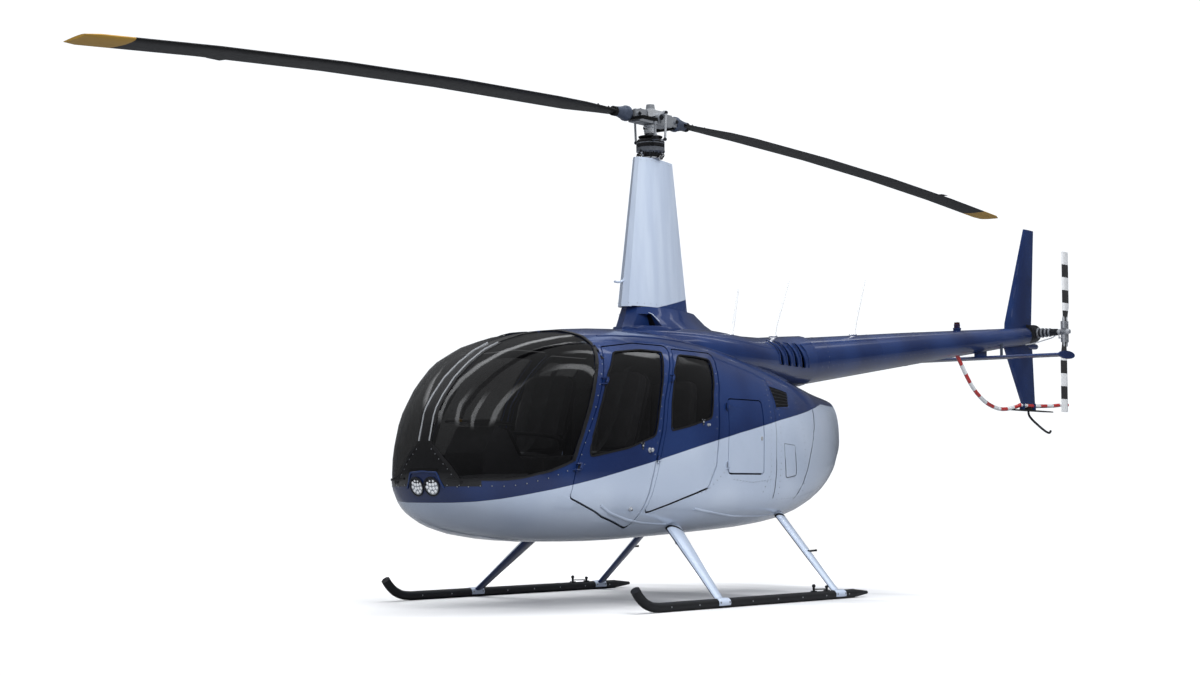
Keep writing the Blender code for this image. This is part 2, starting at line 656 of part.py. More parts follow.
def cowling():
    outer = [ring(y, mid, half, top - mid, power, 28) for y, half, top, mid, power in COWL]
    inner = [ring(y, mid, half - COWL_WALL, top - mid - COWL_WALL, power, 28)
             for y, half, top, mid, power in COWL[1:]]
    inner.append([(x, y + 0.2, z) for x, y, z in inner[-1]])
    cowl = loft("upper_cowl", outer, NAVY)
    fuse(cowl, loft("mast_base", [upright_section(*row) for row in BASE], NAVY))
    cut(cowl, loft("cowl_space", inner, cutter=True), POD_SPACE, CONE_SPACE,
        box("cowl_underside", (-0.12, 1.0, 1.4), (0.12, 1.66, 1.66), cutter=True))
    for side in (1, -1):
        front_x, front_y = INTAKE_FRONT
        rings = [[(side * front_x, front_y, z), (side * INTAKE_AFT_X, lip, z), (side * 0.42, lip, z),
                  (side * 0.42, front_y, z)] for z, lip in INTAKE]
        cut(cowl, loft(f"intake_{side}", rings, cutter=True))
    fuse(cowl, antenna("antenna_front", 0.99, 1.955, 0.375, 0.11), antenna("antenna_middle", 1.57, 1.985, 0.465, 0.23))
    for side in (1, -1):
        for k in range(4):
            y = 1.16 + 0.135 * k
            slot = prism(f"louvre_{side}_{k}", ((y, 1.93), (y + 0.07, 1.93), (y + 0.15, 1.74), (y + 0.08, 1.74)),
                         side * 0.12, side * 0.5)
            cut(cowl, slot)

    fairing = loft("mast_fairing", [upright_section(*row, 0.26) for row in FAIRING], PALE)
    cut(fairing, rod("mast_bore", (0, 0, 3.05), (0, 0, 3.3), SHAFT_RADIUS + RUN, cutter=True))
    probe = tube("pitot_probe", through(((0, -0.30, 2.300), (0, -0.36, 2.272), (0, -0.42, 2.270)), 3), 0.008, METAL, 8)
    fuse(fairing, probe)


cowling()


# Tail
CONE_END = CONE[-1, 0]
# Gearbox behind the tailcone: distance behind it, radius, how far below the hub
GEARBOX = ((TOUCH, 0.085, 0.033), (0.10, 0.085, 0.018), (0.20, 0.078, 0.010), (0.235, 0.060, 0.008), (0.25, 0.030, 0.008))
SKID_PLATE = ((0, 5.426), (-0.035, 5.56), (-0.05, 5.78), (-0.035, 6.20), (0, 6.38), (0.035, 6.20), (0.05, 5.78),
              (0.035, 5.56))
FIN_UPPER = ((2.20, 5.37, 5.905, 0.09), (2.34, 5.385, 5.911, 0.09), (3.267, 5.779, 5.983, 0.09))
FIN_LOWER = ((1.594, 5.685, 5.967, 0.09), (2.10, 5.368, 5.93, 0.09), (2.24, 5.37, 5.91, 0.09))
STABILISER_SPAN = 0.85
STABILISER = (4.79, 0.28, 0.12, 1.982)  # leading edge y, chord, thickness to chord, height
GUARD_RADIUS = 0.018
FIN_FOOT_Z = FIN_LOWER[0][0]
GUARD = (
    (0, 4.483, 1.990), (0, 4.554, 1.913), (0, 4.66, 1.80), (0, 4.769, 1.704), (0, 4.897, 1.627),
    (0, 5.046, 1.567), (0, 5.236, 1.530), (0, 5.411, 1.532), (0, 5.60, 1.560),
    *((0, y, FIN_FOOT_Z - GUARD_RADIUS - TOUCH) for y in (5.66, 5.685, 5.97, 6.0)),
    (0, 6.346, 1.590), (0, GUARD_END - 0.10, 1.607), (0, GUARD_END - 0.05, 1.607), (0, GUARD_END, 1.607),
)


def tail():
    inner = cone_rings(-0.008, start=1.70, end=5.70)
    cone = loft("tailcone", cone_rings(0), NAVY)
    cut(cone, loft("cone_hollow", inner, cutter=True))
    beacon_base = Vector((0, 4.488, 2.200))
    fuse(cone, rod("beacon_mount", beacon_base - Vector((0, 0, 0.03)), beacon_base + Vector((0, 0, 0.035)), 0.034, material=NAVY))
    whip_y = 2.74
    fuse(cone, antenna("antenna_aft", whip_y, np.interp(whip_y, CONE[:, 0], CONE[:, 2]), 0.48, 0.20))
    turned("beacon", ((0, 0.0683), (0.012, 0.066), (0.024, 0.052), (0.027, 0.03), (0.027, 0), (0, 0)),
           RED, beacon_base + Vector((0, 0, 0.035 + TOUCH)))

    gearbox_space = loft("gearbox_space", [
        ring(CONE_END + back, TAIL_HUB.z - lift, radius + TOUCH, radius + TOUCH, count=24)
        for back, radius, lift in ((-0.03, *GEARBOX[0][1:]), *GEARBOX)
    ], cutter=True)
    for name, rows in (("fin_upper", FIN_UPPER), ("fin_lower", FIN_LOWER)):
        fin = loft(name, [upright_section(*row) for row in rows], NAVY)
        cut(fin, CONE_SPACE, gearbox_space)

    nose, chord, thickness, height = STABILISER
    section = airfoil(chord, thickness)
    rings = [[(x, nose + along, height + side) for along, side in section]
             for x in (-STABILISER_SPAN, STABILISER_SPAN)]
    tailplane = loft("stabiliser", rings, NAVY)
    lens = [(nose - 0.01 + 0.155 * (1 - math.cos(a)), height + 0.037 * math.sin(a))
            for a in np.linspace(0, 2 * np.pi, 20, endpoint=False)]
    for side in (1, -1):
        fuse(tailplane, prism(f"tip_plate_{side}", lens, side * (STABILISER_SPAN - 0.004),
                              side * (STABILISER_SPAN + 0.008), cutter=False, material=NAVY))
    pylon = [upright_section(z, nose + 0.02, nose + 0.24, 0.2) for z in (height, height + 0.14)]
    fuse(tailplane, loft("stabiliser_pylon", pylon, NAVY))
    cut(tailplane, CONE_SPACE)

    gearbox = loft("tail_gearbox", [
        ring(CONE_END + back, TAIL_HUB.z - lift, radius, radius, count=24) for back, radius, lift in GEARBOX
    ], METAL)
    arm = rod("gearbox_arm", (0.02, TAIL_HUB.y, TAIL_HUB.z), TAIL_HUB - Vector((0.075, 0, 0)), 0.045, 0.032, METAL)
    fuse(gearbox, arm)
    cut(gearbox, rod("gearbox_bore", (0.16, TAIL_HUB.y, TAIL_HUB.z), TAIL_HUB, TAIL_SHAFT_RADIUS + RUN, cutter=True))

    guard = tube("tail_guard", through(GUARD, 2), GUARD_RADIUS, RED)
    cut(guard, CONE_SPACE)
    plate = prism("tail_skid", rounded(SKID_PLATE, 0.02), 1.524, 1.534, axis="Z", material=BLACK, cutter=False)
    cut(plate, tube("guard_space", through(GUARD, 2), GUARD_RADIUS + 2 * TOUCH, cutter=True))
    guard_low = FIN_FOOT_Z - 2 * GUARD_RADIUS - 2 * TOUCH
    bumper = tube("tail_skid_rod", through(((0, 5.83, 1.55), (0, 5.86, 1.47), (0, 6.10, 1.365), (0, 6.24, 1.325),
                                            (0, 6.285, 1.345)), 4), 0.011, BLACK, 8)
    fuse(plate, box("skid_bracket", (-0.022, 5.79, 1.53), (0.022, 5.87, guard_low), BLACK), bumper)


tail()


# Landing gear. Struts: name, foot y, top (x, y, z), chord at the top, chord at the foot
STRUTS = (("front", -0.67, (0.50, -0.48, 0.60), 0.175, 0.085), ("rear", 0.745, (0.50, 0.82, 0.66), 0.115, 0.085))
STRUT_THICKNESS = 0.30
TOE = ((-1.588, 0.152), (-1.553, 0.112), (-1.495, 0.068), (-1.42, 0.040), (-1.34, SKID_RADIUS))


def landing_gear():
    """Two skid tubes, and four faired struts that enter the belly."""
    for hand, side in (("left", 1), ("right", -1)):
        x = side * SKID_TRACK
        path = through([(x, y, z) for y, z in TOE], 3) + [(x, 0.95, SKID_RADIUS)]
        skid = tube("skid_" + hand, path, SKID_RADIUS, BLACK, 16)
        tip = rod("skid_tip_" + hand, (x, 0.94, SKID_RADIUS), (x, 1.13, SKID_RADIUS), SKID_RADIUS - 0.0005, 0.012,
                  BLACK, segments=16)
        fuse(skid, tip)
        skid_space = rod("skid_space_" + hand, (x, -2, SKID_RADIUS), (x, 2, SKID_RADIUS), SKID_RADIUS + 2 * TOUCH,
                         cutter=True, segments=16)
        below = box("below_skid_" + hand, (x - 0.3, -2, -0.2), (x + 0.3, 2, SKID_RADIUS), cutter=True)
        for name, foot_y, top, chord_top, chord_foot in STRUTS:
            head = Vector((side * top[0], top[1], top[2]))
            foot = Vector((x, foot_y, SKID_RADIUS))
            lengthwise = Vector((0, 1, 0))
            across = (foot - head).cross(lengthwise).normalized()
            rings = []
            for centre, chord in ((head, chord_top), (foot, chord_foot)):
                section = airfoil(chord, STRUT_THICKNESS, count=7)
                rings.append([tuple(centre + lengthwise * (t - 0.42 * chord) + across * s) for t, s in section])
            strut = loft(f"strut_{name}_{hand}", rings, PALE)
            cut(strut, POD_SPACE, skid_space, below)


landing_gear()

# Main rotor
SWASH_RADIUS = 0.105
SWASH_FIXED = (3.2053, 3.292)
SWASH_TURNING = (3.297, 3.352)
LINK_SPOT = Vector((0.135, -0.115, 0))  # pitch link of the front blade
LINK_TOP = 3.462
HORN_THICK = 0.022
FORK_Y = 0.245  # tip of the hub's fork
FORK_X = 0.045
FORK_THICK = 0.021
# Blade: distance from the axis, chord, thickness to chord
BLADE = ((0.36, 0.10, 0.36), (0.52, 0.15, 0.24), (0.80, 0.235, 0.14), (1.10, ROTOR_CHORD, 0.12),
         (2.10, ROTOR_CHORD, 0.12), (3.10, ROTOR_CHORD, 0.12), (4.10, ROTOR_CHORD, 0.12),
         (4.93, ROTOR_CHORD, 0.11), (ROTOR_RADIUS, 0.20, 0.08))
BLADE_PITCH = math.radians(4)


def blade(name, side):
    """Side -1 points at the nose and +1 at the tail. The leading edge goes first in a turn about +Z."""
    rings = []
    for reach, chord, thickness in BLADE:
        height = HUB_Z - DROOP * reach ** 2 + side * TEETER * reach
        section = [(along - 0.30 * chord, up) for along, up in airfoil(chord, thickness, count=7)]
        rings.append([(side * back * math.cos(BLADE_PITCH), side * reach, height + up - back * math.sin(BLADE_PITCH))
                      for back, up in section])
    made = loft(name, rings, BLACK)
    spot = -side * LINK_SPOT
    low, high = LINK_TOP + TOUCH, LINK_TOP + HORN_THICK
    root_y = side * (FORK_Y + 0.014)

    def bar(part, corner, other):
        return box(f"{name}_{part}", [min(a, b) for a, b in zip(corner, other)],
                   [max(a, b) for a, b in zip(corner, other)], METAL)

    lug_half = FORK_X - FORK_THICK / 2 - TOUCH
    lug = bar("lug", (-lug_half, side * 0.195, HUB_Z - 0.026), (lug_half, root_y, HUB_Z + 0.026))
    grip = rod(name + "_grip", (0, side * 0.24, HUB_Z), (0, side * 0.42, HUB_Z - 0.003), 0.030, 0.024, METAL)
    post = bar("post", (-0.018, root_y - 0.012, low), (0.018, root_y + 0.012, HUB_Z))
    horn = bar("horn", (0, root_y - 0.012, low), (spot.x, root_y + 0.012, high))
    arm = bar("arm", (spot.x - 0.014, spot.y - side * 0.014, low), (spot.x + 0.014, root_y + side * 0.012, high))
    return fuse(made, lug, grip, post, horn, arm)


def main_rotor():
    """Shaft, teetering hub, two blades, the swashplates and their pitch links."""
    axis = empty("main_rotor_axis", (0, 0, HUB_Z), DATUM)
    shaft = rod("rotor_shaft", (0, 0, 3.06), (0, 0, HUB_Z - 0.0453), SHAFT_RADIUS, material=METAL)
    hub = box("rotor_hub", (-0.055, -0.19, HUB_Z - 0.045), (0.055, 0.19, HUB_Z - 0.030), METAL)
    pieces = [
        box("hub_top_plate", (-0.055, -0.19, HUB_Z + 0.030), (0.055, 0.19, HUB_Z + 0.045), METAL),
        box("hub_block", (-0.045, -0.07, HUB_Z - 0.04), (0.045, 0.07, HUB_Z + 0.04), METAL),
        rod("teeter_bolt", (-0.10, 0, HUB_Z), (0.10, 0, HUB_Z), 0.022, material=METAL),
        rod("hub_nut", (0, 0, HUB_Z + 0.03), (0, 0, 3.615), 0.04, 0.03, METAL),
    ]
    for side in (-1, 1):
        for across in (-1, 1):
            x = across * FORK_X
            pieces.append(box(f"fork_{side}_{across}", (x - FORK_THICK / 2, min(side * 0.06, side * FORK_Y), HUB_Z - 0.036),
                              (x + FORK_THICK / 2, max(side * 0.06, side * FORK_Y), HUB_Z + 0.036), METAL))
            pieces.append(rod(f"coning_bolt_{side}_{across}", (x, side * 0.222, HUB_Z),
                              (x + across * 0.030, side * 0.222, HUB_Z), 0.015, material=METAL, segments=12))
    fuse(hub, *pieces)
    hang(axis, shaft, hub)
    for name, side in (("front", -1), ("aft", 1)):
        hang(axis, blade("main_blade_" + name, side))
        spot = -side * LINK_SPOT
        top, low = LINK_TOP, SWASH_TURNING[1] + TOUCH
        link = turned("pitch_link_" + name, (
            (0, top), (0.012, top), (0.015, top - 0.012), (0.008, top - 0.026), (0.008, low + 0.026),
            (0.015, low + 0.012), (0.012, low), (0, low),
        ), METAL, (spot.x, spot.y, 0), steps=16)
        hang(axis, link)

    low, high = SWASH_FIXED
    turned("swashplate_fixed", (
        (0.036, high), (SWASH_RADIUS, high), (SWASH_RADIUS, high - 0.03), (0.07, high - 0.047), (0.052, low),
        (0.036, low),
    ), METAL, (0, 0, 0))
    low, high = SWASH_TURNING
    plate = turned("swashplate_turning", (
        (SHAFT_RADIUS + TOUCH, high), (SWASH_RADIUS - 0.01, high), (SWASH_RADIUS, high - 0.017), (SWASH_RADIUS, low),
        (SHAFT_RADIUS + TOUCH, low),
    ), BLACK, (0, 0, 0))
    hang(axis, plate)
    for side in (-1, 1):
        spot = -side * LINK_SPOT
        fuse(plate,
             box(f"swash_arm_{side}", (spot.x - 0.018, spot.y - 0.018, high - 0.027),
                 (spot.x + 0.018, spot.y + 0.018, high), METAL),
             rod(f"swash_rib_{side}", spot * 0.5 + Vector((0, 0, high - 0.015)), spot + Vector((0, 0, high - 0.015)),
                 0.011, material=METAL))


main_rotor()

# Tail blade: distance from the axis, chord, thickness to chord
TAIL_BLADE = ((0.1003, 0.075, 0.30), (0.17, 0.10, 0.20), (0.24, TAIL_CHORD, 0.13), (TAIL_RADIUS, TAIL_CHORD, 0.11))
YOKE_HALF = 0.10


def tail_rotor():
    """Two blades on a hub that turns about the axle through the gearbox arm."""
    axis = empty("tail_rotor_axis", TAIL_HUB, DATUM)
    hub = rod("tail_hub", TAIL_HUB - Vector((0.17, 0, 0)), TAIL_HUB + Vector((0.055, 0, 0)), TAIL_SHAFT_RADIUS,
              material=METAL)
    fuse(hub,
         box("tail_yoke", TAIL_HUB - Vector((0.024, 0.034, YOKE_HALF)), TAIL_HUB + Vector((0.024, 0.034, YOKE_HALF)),
             METAL),
         rod("tail_teeter_bolt", TAIL_HUB - Vector((0, 0.06, 0)), TAIL_HUB + Vector((0, 0.06, 0)), 0.014,
             material=METAL))
    hang(axis, hub)
    for name, side in (("tail_blade_upper", 1), ("tail_blade_lower", -1)):
        rings = []
        for reach, chord, thickness in TAIL_BLADE:
            section = airfoil(chord, thickness, count=7)
            rings.append([(TAIL_HUB.x + across, TAIL_HUB.y + side * (along - 0.3 * chord), TAIL_HUB.z + side * reach)
                          for along, across in section])
        hang(axis, loft(name, rings, WHITE))


tail_rotor()
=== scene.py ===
# %% [markdown]
# # A light helicopter, dressed for a studio picture
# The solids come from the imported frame, and this script gives them their paint, glass, seals, rivets and
# fittings. What lies on a panel finds its place by a ray cast at the solid, so nothing floats over it.

# %% Load the frame
import math

import bmesh
import bpy
import numpy as np
from mathutils import Matrix, Vector
from mathutils.bvhtree import BVHTree


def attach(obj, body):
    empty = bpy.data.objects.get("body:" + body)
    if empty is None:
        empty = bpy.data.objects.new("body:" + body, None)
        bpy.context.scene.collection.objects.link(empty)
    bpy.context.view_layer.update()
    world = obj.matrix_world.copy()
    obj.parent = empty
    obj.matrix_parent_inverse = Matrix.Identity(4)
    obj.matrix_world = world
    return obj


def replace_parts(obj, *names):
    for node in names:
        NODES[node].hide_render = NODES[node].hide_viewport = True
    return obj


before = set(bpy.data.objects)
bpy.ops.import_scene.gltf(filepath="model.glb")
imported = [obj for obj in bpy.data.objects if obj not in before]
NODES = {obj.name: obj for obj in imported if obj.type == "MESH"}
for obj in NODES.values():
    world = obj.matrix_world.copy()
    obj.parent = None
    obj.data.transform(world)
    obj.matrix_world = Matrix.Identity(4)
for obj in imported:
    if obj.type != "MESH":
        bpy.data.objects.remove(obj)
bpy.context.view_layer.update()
MAST_Y = 0.8075  # tables below measure y from the mast, and the frame's origin lies this far behind it

# %% [markdown]
# ## Writing shader maths as plain expressions
# A pattern on paint is a formula of place, such as "paler where z is below the stripe". Wiring Math nodes by
# hand hides that formula, so a small class wraps a socket and adds the nodes for + - * / by itself.

# %% A socket that can be added and multiplied
class Wire:
    """One output of a node. Arithmetic on it adds Math nodes to its tree."""

    def __init__(self, tree, socket):
        self.tree, self.socket = tree, socket

    def math(self, operation, *values):
        node = self.tree.nodes.new("ShaderNodeMath")
        node.operation = operation
        for slot, value in zip(node.inputs, values):
            plug(self.tree, slot, value)
        return Wire(self.tree, node.outputs[0])

    def __add__(self, other):
        return self.math("ADD", self, other)

    def __sub__(self, other):
        return self.math("SUBTRACT", self, other)

    def __rsub__(self, other):
        return self.math("SUBTRACT", other, self)

    def __mul__(self, other):
        return self.math("MULTIPLY", self, other)

    def __gt__(self, other):
        return self.math("GREATER_THAN", self, other)

    def __lt__(self, other):
        return self.math("LESS_THAN", self, other)

    __radd__, __rmul__ = __add__, __mul__

    def size(self):
        return self.math("ABSOLUTE", self)

    def most(self, other):
        return self.math("MAXIMUM", self, other)

    def least(self, other):
        return self.math("MINIMUM", self, other)

    def wave(self, period):
        return self.math("SINE", self * (2 * math.pi / period))


def plug(tree, slot, value):
    if isinstance(value, Wire):
        tree.links.new(value.socket, slot)
    else:
        slot.default_value = value


# %% A finish: one material and its nodes
class Finish:
    def __init__(self, name):
        self.material = bpy.data.materials.new(name)
        self.material.use_nodes = True
        self.tree = self.material.node_tree
        self.shader = self.tree.nodes["Principled BSDF"]
        self.coordinates = self.tree.nodes.new("ShaderNodeTexCoord")
        split = self.node("ShaderNodeSeparateXYZ", Vector=self.place)
        self.x, self.y, self.z = (Wire(self.tree, split.outputs[k]) for k in range(3))

    @property
    def place(self):
        return Wire(self.tree, self.coordinates.outputs["Object"])

    @property
    def normal(self):
        return Wire(self.tree, self.coordinates.outputs["Normal"])

    def node(self, kind, settings=None, **values):
        node = self.tree.nodes.new(kind)
        for name, value in (settings or {}).items():
            if name == "stops":
                ramp = node.color_ramp
                while len(ramp.elements) < len(value):
                    ramp.elements.new(0.5)
                for element, (spot, colour) in zip(ramp.elements, value):
                    element.position = spot
                    element.color = colour
            else:
                setattr(node, name, value)
        for name, value in values.items():
            plug(self.tree, node.inputs[name.replace("_", " ")], value)
        return node

    def out(self, kind, settings=None, **values):
        return Wire(self.tree, self.node(kind, settings, **values).outputs[0])

    def vectors(self, operation, *values, output="Vector"):
        node = self.node("ShaderNodeVectorMath", {"operation": operation})
        for slot, value in zip(node.inputs, values):
            plug(self.tree, slot, value)
        return Wire(self.tree, node.outputs[output])

    def noise(self, scale, detail=3.0, stretch=None):
        place = self.vectors("MULTIPLY", self.place, stretch) if stretch else self.place
        return self.out("ShaderNodeTexNoise", Vector=place, Scale=scale, Detail=detail)

    def mix(self, mask, first, second):
        node = self.node("ShaderNodeMix", {"data_type": "RGBA"})
        plug(self.tree, node.inputs[0], mask)
        plug(self.tree, node.inputs[6], first)
        plug(self.tree, node.inputs[7], second)
        return Wire(self.tree, node.outputs[2])

    def ramp(self, value, low, high, stops):
        """A table of numbers: value from low to high goes to the number of the nearest two stops."""
        floor, top = min(v for _, v in stops), max(v for _, v in stops)
        spread = (top - floor) or 1.0
        table = [((u - low) / (high - low), (*[(v - floor) / spread] * 3, 1)) for u, v in stops]
        share = self.out("ShaderNodeMapRange", Value=value, From_Min=low, From_Max=high)
        grey = self.out("ShaderNodeValToRGB", {"stops": table}, Fac=share)
        return grey * spread + floor

    def soft(self, value, low, high):
        return self.out("ShaderNodeMapRange", {"interpolation_type": "SMOOTHSTEP"}, Value=value, From_Min=low,
                        From_Max=high)

    def bump(self, height, distance, strength=1.0):
        self.set(Normal=self.out("ShaderNodeBump", Height=height, Distance=distance, Strength=strength))

    def set(self, **values):
        for name, value in values.items():
            plug(self.tree, self.shader.inputs[name.replace("_", " ")], value)
        return self


def rgb(red, green, blue):
    """A colour from its 0 to 255 screen values."""
    return (*[((v / 255 + 0.055) / 1.055) ** 2.4 if v > 10 else v / 3294.6 for v in (red, green, blue)], 1.0)


NAVY, NAVY_LIT = rgb(19, 39, 86), rgb(30, 54, 106)
PALE, PALE_SHADE = rgb(196, 208, 227), rgb(184, 197, 218)
WHITE = rgb(236, 238, 240)

# %% [markdown]
# ## Paint in two tones
# The real cabin is navy above a rising line and pale blue below it, under one clear coat. The line is a table
# of heights along y. Inside, the same solid is lined with dark trim: a face looks outwards where its normal
# points away from the cabin's middle, and that dot product picks paint or trim. The walls of the door gaps
# look sideways, and are painted too.

# %% The stripe and the two-tone paint
STRIPE = (
    (-2.36, 0.695), (-2.24, 0.706), (-2.134, 0.724), (-1.858, 0.781), (-1.463, 0.858), (-0.946, 0.961),
    (-0.38, 1.083), (0.106, 1.184), (0.697, 1.293), (1.20, 1.367), (1.76, 1.450),
)


def clear_coated(finish, colour, metal=0.25):
    """Flake, orange peel and slow waves under a clear coat."""
    flake = finish.noise(900, 1.0)
    cloud = finish.noise(2.2, 2.0)
    finish.set(Base_Color=colour, Metallic=metal, Roughness=0.24 + 0.10 * flake, Coat_Weight=0.85,
               Coat_Roughness=0.04)
    finish.bump(cloud + finish.noise(160, 1.0) * 0.012, 0.004, 0.3)


def outward(finish, low, high):
    """1 where a face looks away from the middle line, which runs from low to high at mid height."""
    middle_y = finish.y.least(high - MAST_Y).most(low - MAST_Y)
    middle = finish.out("ShaderNodeCombineXYZ", X=0.0, Y=middle_y, Z=1.15)
    away = finish.vectors("NORMALIZE", finish.vectors("SUBTRACT", finish.place, middle))
    return finish.vectors("DOT_PRODUCT", away, finish.normal, output="Value") > -0.35


def two_tone():
    finish = Finish("two_tone_paint")
    line = finish.ramp(finish.y + MAST_Y, STRIPE[0][0], STRIPE[-1][0], STRIPE)
    upper = finish.soft(finish.z - line, -0.0012, 0.0012)
    cloud = finish.soft(finish.noise(1.6, 2.0), 0.35, 0.65)
    navy, pale = finish.mix(cloud, NAVY, NAVY_LIT), finish.mix(cloud, PALE_SHADE, PALE)
    paint = finish.mix(upper, pale, navy)
    # Black at the nose: the bow, its two legs and the windshield's foot. The lamp hood below stays navy.
    wide, low = finish.x.size(), finish.z
    ahead = (finish.y + MAST_Y) < -1.30
    bow = (wide < 0.049) * (low > 0.90)
    legs = (wide < 0.048 + (1.10 - low) * 0.85) * (low > 0.803) * (low < 1.11)
    hood = (wide < 0.100 + (0.905 - low) * 0.45) * (low < 0.905)
    foot = (low > 0.803) * (wide < 0.40) * ((finish.y + MAST_Y) < -2.20)
    black = finish.out("ShaderNodeClamp", Value=(bow + legs + foot) * (1 - hood) * ahead)
    paint = finish.mix(black, paint, finish.mix(finish.noise(26), rgb(16, 16, 18), rgb(32, 32, 34)))
    skin = outward(finish, -1.75, 0.90)
    grain = finish.noise(420, 2.0)
    trim = finish.mix(grain, rgb(44, 44, 47), rgb(62, 62, 66))
    clear_coated(finish, finish.mix(skin, trim, paint))
    finish.set(Coat_Weight=skin * 0.85, Metallic=skin * 0.22,
               Roughness=(1 - skin) * 0.55 + 0.24 + 0.08 * finish.noise(900, 1.0))
    return finish.material


TWO_TONE = two_tone()
print("two-tone paint:", len(TWO_TONE.node_tree.nodes), "nodes")

# %% Plain paints
def plain_paint(name, dark, light, metal=0.2):
    finish = Finish(name)
    cloud = finish.soft(finish.noise(2.0, 2.0), 0.35, 0.65)
    clear_coated(finish, finish.mix(cloud, dark, light), metal=metal)
    return finish.material


NAVY_PAINT = plain_paint("navy_gloss", NAVY, NAVY_LIT)
PALE_PAINT = plain_paint("pale_gloss", PALE_SHADE, PALE, 0.12)
WHITE_PAINT = plain_paint("white_gloss", rgb(222, 225, 228), WHITE, 0.0)
print("plain paints:", [m.name for m in (NAVY_PAINT, PALE_PAINT, WHITE_PAINT)])

# %% Paint with a white part above a height, for cowl and boom with their whip antennas
def with_white_whips(name, heights):
    """heights: y and z pairs of the line above which the paint is white. At 2.9 m nothing is."""
    finish = Finish(name)
    line = finish.ramp(finish.y + MAST_Y, heights[0][0], heights[-1][0], heights)
    white = finish.z > line
    cloud = finish.soft(finish.noise(2.0, 2.0), 0.35, 0.65)
    clear_coated(finish, finish.mix(white, finish.mix(cloud, NAVY, NAVY_LIT), WHITE))
    finish.set(Metallic=(1 - white) * 0.2)
    return finish.material


COWL_LINE = ((-0.6, 2.9), (0.80, 2.9), (0.82, 1.972), (1.3, 1.972), (1.9, 2.0175))
BOOM_LINE = ((1.6, 1.976), (2.5, 2.0532), (3.4, 2.1304), (3.42, 2.9), (6.4, 2.9))
COWL_PAINT = with_white_whips("cowl_gloss", COWL_LINE)
BOOM_PAINT = with_white_whips("boom_gloss", BOOM_LINE)
print("paints with a white part:", [m.name for m in (COWL_PAINT, BOOM_PAINT)])

# %% [markdown]
# ## The mast fairing's navy wedge
# The fairing is pale, with a navy wedge at its foot that rises towards the trailing edge. One straight line
# in y and z makes it, so the edge stays as crisp as a masked one.

# %% The fairing's paint
WEDGE_SLOPE, WEDGE_FOOT = 0.205, 2.113


def fairing_paint():
    finish = Finish("mast_fairing_gloss")
    line = (finish.y + MAST_Y) * WEDGE_SLOPE + WEDGE_FOOT
    wedge = finish.soft(line - finish.z, -0.0012, 0.0012)
    # Upright bands of a lighter pale, from noise drawn out up the fairing, are painted highlights.
    painted_light_streaks = finish.soft(finish.noise(3.0, 2.0, (4, 4, 0.5)), 0.3, 0.8)
    pale = finish.mix(painted_light_streaks, PALE_SHADE, rgb(198, 210, 228))
    clear_coated(finish, finish.mix(wedge, pale, NAVY_LIT), metal=0.15)
    return finish.material


FAIRING_PAINT = fairing_paint()

# %% [markdown]
# ## Bands
# Coloured bands warn of thin moving parts. A sine of the distance along the tube or blade, cut at zero, gives
# equal bands, and a plain limit gives a single one. An unwrapped image could hold them too, but a formula
# stays sharp however close the view is.

# %% Bands: the guard's red and white, the tail blades' white and black, the main blades' gold tips
GUARD_START, GUARD_PERIOD = 4.47, 0.265
TAIL_SHAFT_Z, TAIL_TIP, TAIL_PERIOD = 2.269, 0.762, 0.244
GOLD_FROM = 4.700  # the blade is 5.03 m long


def guard_bands():
    """Red and white tape round the guard tube. Where the tube climbs, height counts as length too."""
    finish = Finish("guard_bands")
    along = finish.y + MAST_Y - (finish.z - 1.62).most(0.0) * 0.75
    red = (along - GUARD_START).wave(GUARD_PERIOD) > 0.0
    scuff = finish.noise(60, 3.0)
    white_tape = finish.mix(scuff, rgb(214, 218, 222), WHITE)
    red_tape = finish.mix(scuff, rgb(176, 30, 32), rgb(196, 42, 40))
    clear_coated(finish, finish.mix(red, white_tape, red_tape), metal=0.0)
    return finish.material


def banded_blade():
    """White and black bands outboard of a black root."""
    finish = Finish("tail_blade_bands")
    reach = (finish.z - TAIL_SHAFT_Z).size()
    band = (reach - TAIL_TIP).wave(TAIL_PERIOD) > 0.0
    dark = (1 - (1 - band) * (reach > 0.20)) * (reach < 0.745)
    chip = finish.noise(40, 4.0)
    white = finish.mix(chip, rgb(222, 224, 227), WHITE)
    black = finish.mix(chip, rgb(38, 38, 40), rgb(56, 56, 58))
    clear_coated(finish, finish.mix(dark, white, black), metal=0.0)
    return finish.material


def main_blade():
    """Matt black with gold paint at the tip, and brushed marks along the span."""
    finish = Finish("main_blade_black")
    reach = (finish.y + MAST_Y).size()
    tip = finish.soft(reach, GOLD_FROM, GOLD_FROM + 0.004)
    brush = finish.noise(30, 4.0, (6, 0.6, 6))
    black = finish.mix(brush, rgb(11, 11, 12), rgb(19, 19, 20))
    gold = finish.mix(brush, rgb(196, 150, 58), rgb(222, 178, 84))
    finish.set(Base_Color=finish.mix(tip, black, gold), Roughness=0.38 + brush * 0.2, Metallic=tip * 0.25)
    finish.shader.inputs["Specular IOR Level"].default_value = 0.28
    finish.bump(brush, 0.0006, 0.3)
    return finish.material


# %% Swashplates, beacon and struts
def swashplate_finish():
    """Black, with one bright band near the top of the fixed plate and a thin one on the plate that turns."""
    finish = Finish("swashplate_bands")
    ring = (finish.z > 3.250) * (finish.z < 3.2925) + (finish.z > 3.320) * (finish.z < 3.327)
    grain = finish.noise(50, 4.0)
    black = finish.mix(grain, rgb(14, 14, 16), rgb(28, 28, 31))
    steel = finish.mix(grain, rgb(132, 138, 148), rgb(176, 181, 190))
    finish.set(Base_Color=finish.mix(ring, black, steel), Metallic=ring * 0.85,
               Roughness=0.45 - ring * 0.12 + grain * 0.1)
    finish.bump(grain, 0.0006, 0.4)
    return finish.material


